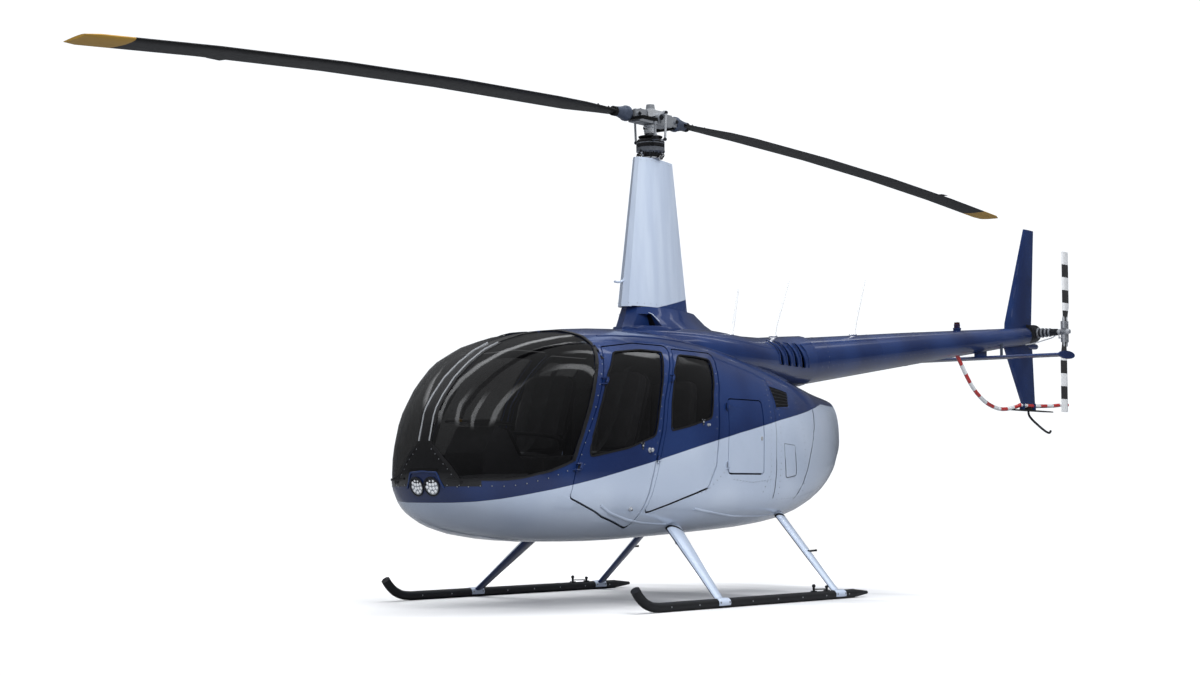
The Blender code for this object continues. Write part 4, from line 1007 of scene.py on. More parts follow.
# %% Side inlets
INLET = ((0.588, 0.635, 1.540), (0.548, 0.935, 1.505), (0.612, 0.860, 1.385), (0.652, 0.648, 1.375))
dark, inlet_ribs, inlet_frame = Piece(), Piece(), Piece()
for hand, side in HANDS:
    grid = patch(INLET, side)
    inlet_frame.strip([grid[i][k] for i, k in border(len(grid))], 0.010, 0.003, closed=True)
    # The dark sheet is painted shade for the opening behind the screen.
    add_sheet(dark, grid)
    for k in range(1, len(grid) - 1):
        inlet_ribs.strip([(row[k][0] + row[k][1] * 0.0016, row[k][1]) for row in grid], 0.006, 0.003)
dark.done("inlet_shade_sheet", DARK)
inlet_ribs.done("inlet_ribs", DARK_STEEL)
inlet_frame.done("inlet_frame", NAVY_PAINT)

# %% Louvre edges, and the dark wall of painted shade behind the louvres
COWL = surface_of("upper_cowl")
LOUVRES, FIRST_LOUVRE, LOUVRE_GAP = 5, 1.148, 0.135
LOUVRE_EDGE = ((0, 1.925), (0.03, 1.88), (0.066, 1.80), (0.078, 1.745))
louvres = Piece()
for hand, side in HANDS:
    for y in (FIRST_LOUVRE + LOUVRE_GAP * k for k in range(LOUVRES)):
        edge = on_side([(y + back, z) for back, z in LOUVRE_EDGE], side, 0.02, surface=COWL)
        louvres.strip(edge, 0.011, 0.007)
louvres.done("louvre_edges", NAVY_PAINT)

# A dark wall down the middle of the cowl keeps the sky on the far side out of the louvres; its deep black is
# painted shade inside the cowl.
WALL = ((1.10, 1.66), (1.65, 1.610), (1.86, 1.612), (1.86, 2.001), (1.70, 1.9886), (1.50, 1.972),
        (1.40, 1.9635), (1.30, 1.955), (1.10, 1.950))
WALL_THICK = 0.004
wall = Piece().plate([at(-WALL_THICK / 2, y, z) for y, z in WALL], (WALL_THICK, 0, 0))
wall.done("cowl_middle_wall", DARK)

# %% The static ports low on the cabin
PORT = ((0.016, -0.002), (0.016, 0.004), (0.012, 0.007), (0.010, 0.018), (0.007, 0.019))
port, bore = Piece(), Piece()
for hand, side in HANDS:
    place, normal = near_skin(((0.686, -1.11, 0.662), (0.686, -1.10, 0.662)), side, 1.0)[0]
    port.turned(place, normal, PORT, 14)
    # The bore is a deep black disc: painted shade in the port's hole.
    bore.turned(place + normal * 0.0185, normal, ((0.0065, 0), (0.0065, 0.0012)), 12)
port.done("static_port", BRIGHT)
bore.done("static_port_bore", DARK)

# %% The mast's base: intake mouths as dark plates of painted shade, and their lips
MOUTH = ((0.094, -0.134, 1.962), (0.150, -0.134, 1.962), (0.128, -0.166, 2.040), (0.096, -0.166, 2.040))
LIP = ((-0.20, 2.054), (-0.172, 2.048), (-0.155, 2.020), (-0.140, 1.990))
mouths, lips = Piece(), Piece()
for hand, side in HANDS:
    # The mouths are deep black plates: painted shade in the openings.
    mouths.plate([at(side * x, y, z) for x, y, z in MOUTH], (0, 0.0025, 0.0))
    lips.strip(on_side(LIP, side, 0.015, surface=COWL), 0.005, 0.003)
mouths.done("intake_mouths", DARK)
lips.done("intake_lips", PALE_PAINT)

# %% Screw rows at the fairing's foot and head, and a strip of painted shade in the gap under it
FAIRING = surface_of("mast_fairing")
foot_gap, fairing_screws = Piece(), Piece()


def level_line(z, low, high, side, count=9):
    """Stations along the fairing's side at one height."""
    return on_side([(y, z) for y in np.linspace(low, high, count)], side, 0.03, surface=FAIRING)


for hand, side in HANDS:
    fairing_screws.rivets(level_line(2.125, -0.32, 0.41, side), 0.07, 0.0032)
    # A deep black strip is painted shade in the gap under the fairing.
    foot_gap.strip(level_line(2.1005, -0.30, 0.41, side), 0.004, 0.0012)
    fairing_screws.rivets(level_line(3.185, -0.16, 0.24, side, 7), 0.05, 0.0028)
fairing_screws.done("fairing_screws", STEEL)
foot_gap.done("fairing_foot_gap", DARK)

# %% [markdown]
# ## Rotor head
# The head is bare machinery: forks, bolts, swashplates, boots and links, all polished or blackened. Turned
# forms and rods stand for them, and what turns with the shaft rides on the rotor's body.

# %% What turns above the fairing: profiles as (radius, distance along the axis)
HUB_Z, MAIN = 3.51, "main_rotor"
UPWARDS, DOWNWARDS = Vector((0, 0, 1)), Vector((0, 0, -1))
MAST_NUT = ((0.052, 0), (0.052, 0.010), (0.044, 0.014), (0.040, 0.030), (0.030, 0.036), (0.028, 0.056),
            (0.018, 0.062))
SHAFT_COLLAR = ((0.034, 0), (0.046, 0.006), (0.046, 0.022), (0.036, 0.030), (0.036, 0.048), (0.050, 0.056),
                (0.050, 0.068))
CUFF = ((0.032, 0), (0.050, 0.006), (0.057, 0.018), (0.057, 0.040), (0.050, 0.052), (0.046, 0.075),
        (0.040, 0.100), (0.034, 0.150))
BOOT = [(0.033 + 0.003 * (k % 2), 0.005 * k) for k in range(8)]
PLATE_BOOT = ((0.048, 0), (0.050, 0.012), (0.088, 0.015), (0.090, 0.024), (0.040, 0.030))
HORN = ((0.122, 3.562), (-0.060, 3.566), (-0.085, 3.556), (0.105, 3.500))  # y and z of its corners
HORN_EYE = ((0.016, 0), (0.018, 0.004), (0.018, 0.018), (0.012, 0.022))
castings, bolts, boots, cuffs = Piece(), Piece(), Piece(), Piece()


def add_fork(side):
    """One blade's fork bolts, its cuff with a ring of bolts, and its rubber boot."""
    bolts.bolt(at(side * 0.100, 0, HUB_Z), (side, 0, 0), 0.014)
    for across in (-1, 1):
        bolts.bolt(at(across * 0.075, side * 0.222, HUB_Z), (across, 0, 0), 0.010)
        bolts.bolt(at(across * 0.028, side * 0.150, HUB_Z + 0.045), UPWARDS, 0.007)
    cuffs.turned(at(0, side * 0.262, HUB_Z), (0, side, 0), CUFF, 24)
    for a in angles(8, 0.5):
        place = at(0.046 * math.cos(a), side * 0.270, HUB_Z + 0.046 * math.sin(a))
        bolts.bolt(place, (0, -side, 0), 0.0042)
    boots.turned(at(0, side * 0.405, HUB_Z - 0.002), (0, side, 0), BOOT, 18)


def add_horn(side):
    """A bright plate beside the fork, with an eye at its end and the link that moves it."""
    castings.plate([at(side * -0.064, side * y, z) for y, z in HORN], (side * -0.005, 0, 0))
    eye = at(side * -0.070, side * -0.078, 3.558)
    castings.turned(eye + Vector((side * 0.010, 0, 0)), (-side, 0, 0), HORN_EYE, 16)
    foot, head = at(side * -0.132, side * -0.006, 3.345), at(side * -0.132, side * -0.020, 3.545)
    castings.rod(foot, head, 0.0085)
    castings.rod(head, eye, 0.008)
    castings.rod(at(side * -0.098, 0, 3.338), foot, 0.008)
    for place in (foot, head):
        bolts.ball(place, 0.014)


castings.turned(at(0, 0, 3.548), UPWARDS, MAST_NUT, 24)
castings.turned(at(0, 0, 3.392), UPWARDS, SHAFT_COLLAR, 24)
for a in angles(6):
    bolts.bolt(polar(0.046, a, 3.556), UPWARDS, 0.0045)
for side in (-1, 1):
    add_fork(side)
    add_horn(side)
boots.turned(at(0, 0, 3.353), UPWARDS, PLATE_BOOT, 32)
castings.done("rotor_castings", BRIGHT, MAIN)
cuffs.done("blade_cuffs", CUFF_GREY, MAIN)
bolts.done("rotor_bolts", DARK_STEEL, MAIN)
boots.done("rotor_boots", RUBBER, MAIN)

# %% What stays still below it: control rods, their round ends and hoses
ROD_TURNS = (25, 145, 265)
HOSE = ((0.070, 0, 3.209), (0.092, 0.10, 3.216), (0.100, 0.2, 3.232), (0.094, 0.3, 3.252))  # radius, turn, z
BASE_RING = ((0.072, 0), (0.078, 0.004), (0.078, 0.012), (0.060, 0.016))
still, balls, hoses = Piece(), Piece(), Piece()
for degrees in ROD_TURNS:
    a = math.radians(degrees)
    low, high = polar(0.066, a, 3.200), polar(0.098, a, 3.262)
    still.rod(low, high, 0.007)
    balls.ball(high, 0.012)
    balls.ball(low + (high - low) * 0.3, 0.011)
for k, a in enumerate(angles(10, 0.5)):
    balls.ball(polar(0.088, a, 3.238 + 0.006 * (k % 2)), 0.0085)
    outwards = Vector((math.cos(a), math.sin(a), 0.2)).normalized()
    hoses.strip([(polar(radius, a + turn, z), outwards) for radius, turn, z in HOSE], 0.008, 0.006)
still.turned(at(0, 0, 3.206), UPWARDS, BASE_RING, 28)
still.done("control_rods", BRIGHT)
balls.done("rod_ends", DARK_STEEL)
hoses.done("mast_hoses", RUBBER)

# %% [markdown]
# ## Blades
# A blade's small marks are its trim tab, the bolts at its root and the doubler plate there. Rays cast down on
# the drooping blade find the height for each one.

# %% Trim tabs and root fittings
TAB = ((0.150, 3.87), (0.212, 3.88), (0.212, 3.98), (0.150, 3.99))  # x and reach of its corners
TAB_REACH = 3.93
ROOT_BOLTS = ((0.50, 0.012), (0.50, -0.012), (0.56, 0), (0.64, 0.020), (0.64, -0.030), (0.72, 0))
DOUBLER = ((0.46, 0.030), (0.60, 0.040), (0.78, 0.050), (0.92, 0.020))  # reach and half width
DOUBLER_SECTION = ((-1, -0.003), (-1, 0.0012), (0, 0.003), (1, 0.0012), (1, -0.003))


def from_above(surface, x, y):
    place, normal, _, _ = surface.ray_cast(at(x, y, 5), DOWNWARDS)
    return place, normal


for name, side in (("front", -1), ("aft", 1)):
    blade = surface_of("main_blade_" + name)
    tab, fixings = Piece(), Piece()
    height = from_above(blade, side * 0.160, side * TAB_REACH)[0].z - 0.002
    tab.plate([at(side * x, side * reach, height) for x, reach in TAB], (0, 0, -0.0025))
    for reach, x in ROOT_BOLTS:
        place, normal = from_above(blade, side * x, side * reach)
        if place:
            fixings.bolt(place, normal, 0.006)
    rings = []
    for reach, half in DOUBLER:
        place, normal = from_above(blade, 0, side * reach)
        rings.append([place + normal * up + Vector((w * half, 0, -abs(w) * half * 0.12))
                      for w, up in DOUBLER_SECTION])
    fixings.loft(rings)
    tab.done("trim_tab_" + name, MAIN_BLADE, MAIN)
    fixings.done("root_fittings_" + name, DARK_STEEL, MAIN)

# %% [markdown]
# ## Tail boom
# The boom is rolled from sheets that overlap in bands, each with a ring of rivets. A beacon of dark glass
# stands on it in a navy collar, and two small braces join it to the stabiliser.

# %% Bands and their rivets, and a seam along each side
BOOM = surface_of("tailcone")
BAND_YS = (2.12, 2.95, 3.72, 4.42, 5.08, 5.62)


def ring_round(y):
    """Stations round the boom at one y."""
    top = BOOM.ray_cast(at(0, y, 3.5), DOWNWARDS)[0]
    low = BOOM.ray_cast(at(0, y, 0.8), UPWARDS)[0]
    middle, found = (top + low) / 2, []
    for a in angles(30):
        away = Vector((math.sin(a), 0, math.cos(a)))
        place, normal, _, _ = BOOM.ray_cast(middle + away * 0.6, -away)
        if place and (place - middle).length < 0.30:
            found.append((place, normal))
    return found


bands, ring_rivets = Piece(), Piece()
for y in BAND_YS:
    bands.strip(ring_round(y), 0.018, 0.0012, closed=True)
    ring_rivets.rivets(ring_round(y - 0.022), 0.045, 0.0026)
for hand, side in HANDS:
    seam = []
    for y in np.arange(2.0, 5.7, 0.12):
        height = 1.775 + (y - 2.1) * 0.117
        seam.append(spot_on(BOOM, at(side * 0.8, y, height), (-side, 0, 0)))
    ring_rivets.rivets([spot for spot in seam if spot], 0.085, 0.0024)
bands.done("boom_bands", NAVY_PAINT)
ring_rivets.done("boom_rivets", STEEL)

# %% The beacon's collar, with three ribs
BEACON_Y = 4.488
collar = Piece().turned(at(0, BEACON_Y, 2.225), UPWARDS, ((0.0375, 0), (0.0375, 0.010), (0.0355, 0.012)), 24)
RIB = ((0.0272, 0), (0.0285, 0.001), (0.0285, 0.003), (0.0272, 0.004))
for k in range(3):
    collar.turned(at(0, BEACON_Y, 2.2440 + 0.010 * k), UPWARDS, RIB, 20)
collar.done("beacon_collar", NAVY_PAINT)

# %% The stabiliser's braces: an upright plate on the boom, a foot plate and two screws
BRACE_Y, BRACE_Z, STABILISER_TOP = 5.16, 2.115, 1.990
braces = Piece()
for hand, side in HANDS:
    head = spot_on(BOOM, at(side * 0.8, BRACE_Y, BRACE_Z), (-side, 0, 0))[0]
    foot = at(head.x, BRACE_Y, STABILISER_TOP)
    low_x, high_x = sorted((head.x - side * 0.006, head.x + side * 0.004))
    braces.box((low_x, head.y - 0.020, foot.z), (high_x, head.y + 0.020, head.z + 0.035), 0.0015)
    braces.box(foot - Vector((0.020, 0.030, 0.001)), foot + Vector((0.020, 0.030, 0.006)), 0.0015)
    for up in (0.0, 0.022):
        braces.dome(head + Vector((side * 0.004, 0, up)), (side, 0, 0), 0.0045)
braces.done("stabiliser_braces", CUFF_GREY)

# %% [markdown]
# ## Tail rotor
# A finned gearbox drives two banded blades. Each blade's root is held between two polished grips, and thin
# links from a slider set its pitch.

# %% The gearbox's fins, its sleeves and the cable to the pitch control
SHAFT_Y, SHAFT_Z = 5.873, 2.269
TAIL_HUB = at(0.37, SHAFT_Y, SHAFT_Z)
CABLE = ((0.05, 5.70, 2.15), (0.10, 5.78, 2.165), (0.17, 5.84, 2.195), (0.25, 5.85, 2.215),
         (0.292, 5.855, 2.238))
CABLE_RADIUS = 0.006
fins, sleeves, cable = Piece(), Piece(), Piece()
for k in range(5):
    rim = 0.096 - 0.003 * k
    place = at(0, 5.785 + 0.040 * k, 2.255 + 0.004 * k)
    fins.turned(place, (0, 1, 0), ((0.086, 0), (rim, 0.003), (rim, 0.013), (0.086, 0.016)), 28)
for k in range(4):
    rim = 0.050 - 0.003 * k
    place = at(0.095 + 0.038 * k, SHAFT_Y, SHAFT_Z)
    sleeves.turned(place, (1, 0, 0), ((0.040, 0), (rim, 0.003), (rim, 0.014), (0.038, 0.018)), 20)
for a in angles(8):
    fins.bolt(at(0.235, SHAFT_Y + 0.030 * math.cos(a), SHAFT_Z + 0.030 * math.sin(a)), (1, 0, 0), 0.0035)
round_section = [Vector((0, math.cos(a), math.sin(a))) * CABLE_RADIUS for a in angles(8)]
cable.loft([[at(*spot) + corner for corner in round_section] for spot in walk(CABLE, 0.02)])
fins.done("gearbox_fins", DARK_STEEL)
sleeves.done("gearbox_sleeves", STEEL)
cable.done("pitch_cable", BRIGHT)

# %% The tail lamp
LAMP_BODY = ((0.006, 0), (0.020, 0.03), (0.027, 0.08), (0.029, 0.15), (0.027, 0.19))
LAMP_GLASS = ((0.026, 0), (0.026, 0.012), (0.018, 0.030), (0.006, 0.036))
lamp = Piece().turned(at(0, 5.80, 2.148), (0, 1, 0), LAMP_BODY, 18)
lamp.box(at(-0.006, 5.86, 2.150), at(0.006, 5.95, 2.200)).done("tail_lamp_body", NAVY_PAINT)
# Its lens has the landing lamps' faint glow of painted light.
Piece().turned(at(0, 5.991, 2.148), (0, 1, 0), LAMP_GLASS, 18).done("tail_lamp_lens", LAMP_LENS)

# %% Grips, slider and links, which turn with the tail rotor
GRIP = ((0.009, 0), (0.0125, 0.006), (0.0115, 0.05), (0.0125, 0.095), (0.008, 0.112))
SLIDER = ((0.020, 0), (0.028, 0.004), (0.028, 0.018), (0.022, 0.026))
HUB_CAP = ((0.026, 0), (0.026, 0.010), (0.020, 0.016), (0.020, 0.034))


def from_hub(x, y, z):
    return TAIL_HUB + Vector((x, y, z))


grips, links = Piece(), Piece()
for end in (1, -1):
    for y in (-0.030, 0.030):
        grips.turned(from_hub(0.004, y, end * 0.030), (0, 0, end), GRIP, 12)
    links.bolt(from_hub(0.026, 0, end * 0.075), (1, 0, 0), 0.008)
    elbow = from_hub(-0.030, end * 0.055, end * 0.060)
    links.rod(from_hub(-0.050, end * 0.020, end * 0.020), elbow, 0.005)
    links.rod(elbow, from_hub(0.0, end * 0.036, end * 0.062), 0.005)
    links.ball(elbow, 0.008)
    links.bolt(from_hub(0, end * 0.060, 0), (0, end, 0), 0.010)
grips.turned(from_hub(-0.066, 0, 0), (1, 0, 0), SLIDER, 20)
grips.turned(from_hub(0.020, 0, 0), (1, 0, 0), HUB_CAP, 20)
grips.done("tail_grips", BRIGHT, "tail_rotor")
links.done("tail_links", STEEL, "tail_rotor")

# %% Clamps of the guard, with two bolts each
clamps = Piece()
for y in (5.71, 5.93):
    clamps.box(at(-0.024, y - 0.012, 1.532), at(0.024, y + 0.012, 1.600), 0.004)
    for x in (-0.014, 0.014):
        clamps.bolt(at(x, y, 1.532), DOWNWARDS, 0.004)
clamps.done("guard_clamps", NAVY_PAINT)

# %% [markdown]
# ## Landing gear fittings
# The struts end in saddles bolted on the tubes, and each tube carries small upright brackets for ground
# wheels. The saddles leave the underside free, so the tubes still stand on the ground.

# %% Saddles over the tubes, and their bolts
TRACK, TUBE = 1.118, 0.032  # half the distance between the tubes, and a tube's radius
LEGS = {"front": ((0.50, -0.48, 0.60), -0.67), "rear": ((0.50, 0.82, 0.66), 0.745)}  # head, and y of the foot
saddles, brackets, gear_bolts = Piece(), Piece(), Piece()


def add_saddle(side, foot_y):
    middle = at(side * TRACK, foot_y, TUBE)
    ways = [sideways(degrees, 1) for degrees in range(-25, 206, 15)]
    saddles.strip([(middle + away * TUBE, away) for away in ways], 0.130, 0.004)
    for along in (-0.05, 0.05):
        for away in (sideways(10, 1), sideways(170, 1)):
            place = middle + Vector((0, along, 0)) + away * (TUBE + 0.003)
            gear_bolts.bolt(place, away, 0.0050)


def add_brackets(side):
    """Two uprights and the rod between them for the ground wheels, and a peg on the rear strut."""
    for y, tall in ((0.435, 0.050), (0.600, 0.036)):
        base = at(side * TRACK, y, 2 * TUBE - 0.004)
        post = ((0.009, 0), (0.009, tall * 0.7), (0.013, tall * 0.72), (0.013, tall), (0.006, tall + 0.006))
        brackets.box(base - Vector((0.014, 0.022, 0)), base + Vector((0.014, 0.022, 0.010)), 0.002)
        brackets.turned(base, UPWARDS, post, 12)
    brackets.rod(at(side * TRACK, 0.435, 2 * TUBE + 0.016), at(side * TRACK, 0.600, 2 * TUBE + 0.012), 0.0045)
    peg = at(side * 0.835, 0.78, 0.333)
    peg_end = peg + Vector((0, 0.115, 0.004))
    brackets.rod(peg, peg_end, 0.0075)
    brackets.ball(peg_end, 0.009)


for hand, side in HANDS:
    for head, foot_y in LEGS.values():
        add_saddle(side, foot_y)
    add_brackets(side)
    for y in np.arange(-1.25, 0.95, 0.30):
        for way in (1, -1):
            gear_bolts.dome(at(side * (TRACK + way * TUBE), y, TUBE), (way * side, 0, 0), 0.0055)
saddles.done("skid_saddles", PALE_PAINT)
brackets.done("ground_wheel_brackets", SKID_BLACK)
gear_bolts.done("gear_bolts", STEEL)

# %% Rubber cuffs where the struts leave the belly
def round_strut(strut, top, foot):
    """Stations round a strut, just below the skin that it comes out of."""
    axis, aft = (foot - top).normalized(), Vector((0, 1, 0))
    entry = SKIN.ray_cast(foot, -axis)[0] or top
    wide = axis.cross(aft).normalized()
    ring = []
    for a in angles(24):
        away = aft * math.cos(a) + wide * math.sin(a)
        away = (away - axis * away.dot(axis)).normalized()
        place, normal, _, _ = strut.ray_cast(entry + axis * 0.022 - aft * 0.012 + away * 0.3, -away)
        if place:
            ring.append((place, normal))
    return ring


strut_cuffs = Piece()
for hand, side in HANDS:
    for name, (head, foot_y) in LEGS.items():
        top = at(side * head[0], head[1], head[2])
        ring = round_strut(surface_of(f"strut_{name}_{hand}"), top, at(side * TRACK, foot_y, TUBE))
        if len(ring) > 12:
            strut_cuffs.strip(ring, 0.016, 0.004, closed=True)
strut_cuffs.done("strut_cuffs", RUBBER)

# %% The belly's blade antenna: one section at four heights
SECTION = ((0, 0), (0.25, 1), (0.6, 1), (1, 0.1), (0.6, -1), (0.25, -1))  # shares of its depth and half width
HEIGHTS = (  # height under the belly, half width, front and back
    (0.006, 0.014, -0.055, 0.075), (-0.010, 0.008, -0.035, 0.06), (-0.095, 0.006, 0.000, 0.055),
    (-0.105, 0.003, 0.010, 0.050),
)
foot = SKIN.ray_cast(at(0, 0.285, -0.2), UPWARDS)[0]
antenna = Piece().loft([[foot + Vector((x * half, front + y * (back - front), z)) for y, x in SECTION]
                        for z, half, front, back in HEIGHTS])
antenna.done("belly_antenna", WHITE_PAINT)

# %% [markdown]
# ## Cushions
# A stuffed cushion is fullest in the middle, its sides pull in between the corners, and sewn channels cross
# its face. Starting from a fine block, every point moves by those three rules. Cloth simulation would swell
# it the same way, at a cost that these small, half hidden seats don't repay.

# %% Where each point of the block goes
SWELL, PULL_IN = 0.10, -0.035  # how far the face stands out, and how far the sides pull in
CHANNEL_DEPTH, CHANNEL_WIDTH, CHANNEL_REACH = 0.13, 0.035, 0.62
WELT, WELT_AT, WELT_WIDTH = 0.018, 0.80, 0.05


def stuffed(place, face, channels):
    """A point of a block from -1 to 1, moved to where stuffing and seams would hold it."""
    spot = place / sum(abs(c) ** 7 for c in place) ** (1 / 7)
    u = [abs(c) for c in spot]
    for axis in range(3):
        one, other = [u[k] for k in range(3) if k != axis]
        pull = SWELL if axis == face else PULL_IN
        spot[axis] *= 1 + pull * (1 - one ** 2) * (1 - other ** 2)
    along = spot[2] if face == 1 else spot[1]
    if abs(spot[face]) > 0.75:
        for k in range(channels):
            centre = CHANNEL_REACH * (2 * k / max(channels - 1, 1) - 1)
            dip = CHANNEL_DEPTH * math.exp(-((along - centre) / CHANNEL_WIDTH) ** 2)
            spot[face] -= math.copysign(dip, spot[face])
    welt = WELT * math.exp(-((abs(spot[face]) - WELT_AT) / WELT_WIDTH) ** 2)
    for axis in range(3):
        if axis != face:
            spot[axis] *= 1 + welt
    return spot


# %% The cushion maker
def cushion(name, middle, half, lean=0.0, channels=3, face=2):
    """half: half sizes in x, y, z. face: the axis that the body rests on, with its sewn channels."""
    form = bmesh.new()
    bmesh.ops.create_cube(form, size=2.0)
    bmesh.ops.subdivide_edges(form, edges=form.edges, cuts=15, use_grid_fill=True)
    turn = Matrix.Rotation(lean, 3, "X")
    for vert in form.verts:
        spot = stuffed(vert.co, face, channels)
        vert.co = middle + turn @ Vector(c * h for c, h in zip(spot, half))
    mesh = bpy.data.meshes.new(name)
    form.to_mesh(mesh)
    form.free()
    made = show(mesh, LEATHER, "airframe")


# %% A front seat: a moulded base and back, a cushion on each
SEAT_X, FLOOR_Z = 0.33, 0.6206
LEAN = Matrix.Rotation(math.radians(-18.5), 3, "X")
BACK = ((-0.20, -0.34), (0.20, -0.34), (0.205, 0.22), (0.15, 0.285), (-0.15, 0.285), (-0.205, 0.22))


def front_seat(hand, x):
    shell = Piece().box(at(x - 0.225, -1.345, FLOOR_Z), at(x + 0.225, -0.885, 0.885), 0.02)
    shell.plate([at(x, -0.815, 1.33) + LEAN @ Vector((wide, 0.052, up)) for wide, up in BACK],
                LEAN @ Vector((0, 0.014, 0)))
    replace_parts(shell.done("seat_shell_" + hand, TRIM), "seat_front_" + hand)
    cushion("seat_cushion_" + hand, at(x, -1.125, 0.945), (0.222, 0.225, 0.064))
    cushion("seat_back_" + hand, at(x, -0.822, 1.315), (0.205, 0.046, 0.285), math.radians(-18.5), 4, face=1)


# %% A harness: two shoulder straps, a lap strap and a buckle
STRAP_WIDE, STRAP_THICK, SHOULDER_X = 0.046, 0.0025, 0.075
SHOULDER = (  # share of the shoulder's x, then y and z
    (1, -0.742, 1.628), (1.05, -0.785, 1.615), (1.1, -0.853, 1.50), (1, -0.925, 1.28), (0.6, -0.985, 1.12),
    (0.2, -1.05, 1.035),
)
LAP = ((-0.222, -0.93, 0.93), (-0.20, -0.99, 1.005), (-0.10, -1.045, 1.03), (0, -1.06, 1.032),
       (0.10, -1.045, 1.03), (0.20, -0.99, 1.005), (0.222, -0.93, 0.93))


def harness(hand, middle_x):
    straps, ahead = Piece(), Vector((0, -0.94, 0.34))
    for shoulder in (-SHOULDER_X, SHOULDER_X):
        line = walk([(shoulder * share, y, z) for share, y, z in SHOULDER], 0.04)
        straps.strip([(at(middle_x + x, y, z), ahead) for x, y, z in line], STRAP_WIDE, STRAP_THICK)
    stations = []
    for x, y, z in walk(LAP, 0.035):
        stations.append((at(middle_x + x, y, z), Vector((x * 2, -0.5, 0.8)).normalized()))
    straps.strip(stations, STRAP_WIDE, STRAP_THICK).done("harness_" + hand, WEBBING)
    buckle = Piece().box(at(middle_x - 0.028, -1.082, 1.026), at(middle_x + 0.028, -1.040, 1.044), 0.004)
    buckle.done("buckle_" + hand, BRIGHT)


for hand, side in HANDS:
    front_seat(hand, side * SEAT_X)
    harness(hand, side * SEAT_X)

# %% The rear bench for three
bench = Piece().box(at(-0.56, -0.60, FLOOR_Z), at(0.56, -0.15, 0.905), 0.02).done("bench_shell", TRIM)
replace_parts(bench, "seat_rear_bench")
for k, x in enumerate((-0.372, 0.0, 0.372)):
    cushion(f"bench_cushion_{k}", at(x, -0.40, 0.962), (0.182, 0.205, 0.060))
    cushion(f"bench_back_{k}", at(x, -0.212, 1.285), (0.180, 0.042, 0.265), math.radians(-4), 4, face=1)

# %% [markdown]
# ## Instruments and controls
# The console carries two dark screens, round gauges and a row of switches. Nothing on it is lettered: a
# screen shows plain bars, and a gauge has ticks only.

# %% The screens' glow
def screen_glow():
    finish = Finish("screen_glow")
    bars = (finish.x.wave(0.028) > 0.55) * (finish.z.wave(0.020) > 0.2)
    sky = finish.soft(finish.z, 1.02, 1.06)
    colour = finish.mix(sky, rgb(74, 58, 40), rgb(40, 84, 130))
    finish.set(Base_Color=rgb(8, 8, 9), Roughness=0.1, Coat_Weight=1.0,
               Emission_Color=finish.mix(bars * 0.8, colour, rgb(190, 214, 196)))
    finish.shader.inputs["Emission Strength"].default_value = 0.35
    return finish.material


SCREEN = screen_glow()

# %% Screens, gauges and switches on the console's aft face
FACE = Vector((0, 0.816, 0.579))  # the face looks up at the seats
UP = Vector((0, -0.579, 0.816))  # up along the face
ORIGIN = at(0, -1.63, 1.015)
GAUGE = ((0.028, 0), (0.028, 0.006), (0.025, 0.008), (0.0235, 0.005))
TOGGLE = ((0.006, 0), (0.006, 0.003), (0.0025, 0.004), (0.0032, 0.016))
BUTTON = ((0.009, 0), (0.008, 0.010), (0.006, 0.011))
HOOD_TOP = ((-0.20, -1.70, 1.205), (0.20, -1.70, 1.205), (0.20, -1.95, 1.225), (-0.20, -1.95, 1.225))
bezel, screens, dials, ticks, switches = Piece(), Piece(), Piece(), Piece(), Piece()


def on_face(x, up, out=0.0):
    return ORIGIN + Vector((x, 0, 0)) + UP * up + FACE * out


def face_plate(piece, x, up, wide, tall, out, thick):
    halves = ((-wide / 2, -tall / 2), (wide / 2, -tall / 2), (wide / 2, tall / 2), (-wide / 2, tall / 2))
    return piece.plate([on_face(x + a, up + b, out) for a, b in halves], FACE * thick)


face_plate(bezel, 0, 0.10, 0.37, 0.21, -0.004, 0.012)
for x in (-0.088, 0.088):
    face_plate(screens, x, 0.105, 0.150, 0.115, 0.0082, 0.002)
for x in (-0.13, -0.065, 0.0, 0.065, 0.13):
    dials.turned(on_face(x, -0.035, -0.001), FACE, GAUGE, 20)
    for a in angles(8):
        spot = on_face(x + 0.020 * math.cos(a), -0.035 + 0.020 * math.sin(a), 0.0045)
        ticks.turned(spot, FACE, ((0.0012, 0), (0.0012, 0.001)), 6)
for x in np.linspace(-0.132, 0.132, 9):
    switches.turned(on_face(x, -0.105, -0.001), FACE, TOGGLE, 10)
    switches.turned(on_face(x, -0.140, -0.001), FACE, BUTTON, 12)
bezel.plate([at(*corner) for corner in HOOD_TOP], (0, 0, 0.014))
bezel.done("panel_bezel", FRAME_BLACK)
screens.done("panel_screens", SCREEN)
dials.done("panel_gauges", DARK_STEEL)
ticks.done("gauge_ticks", WHITE_PAINT)
switches.done("panel_switches", BRIGHT)

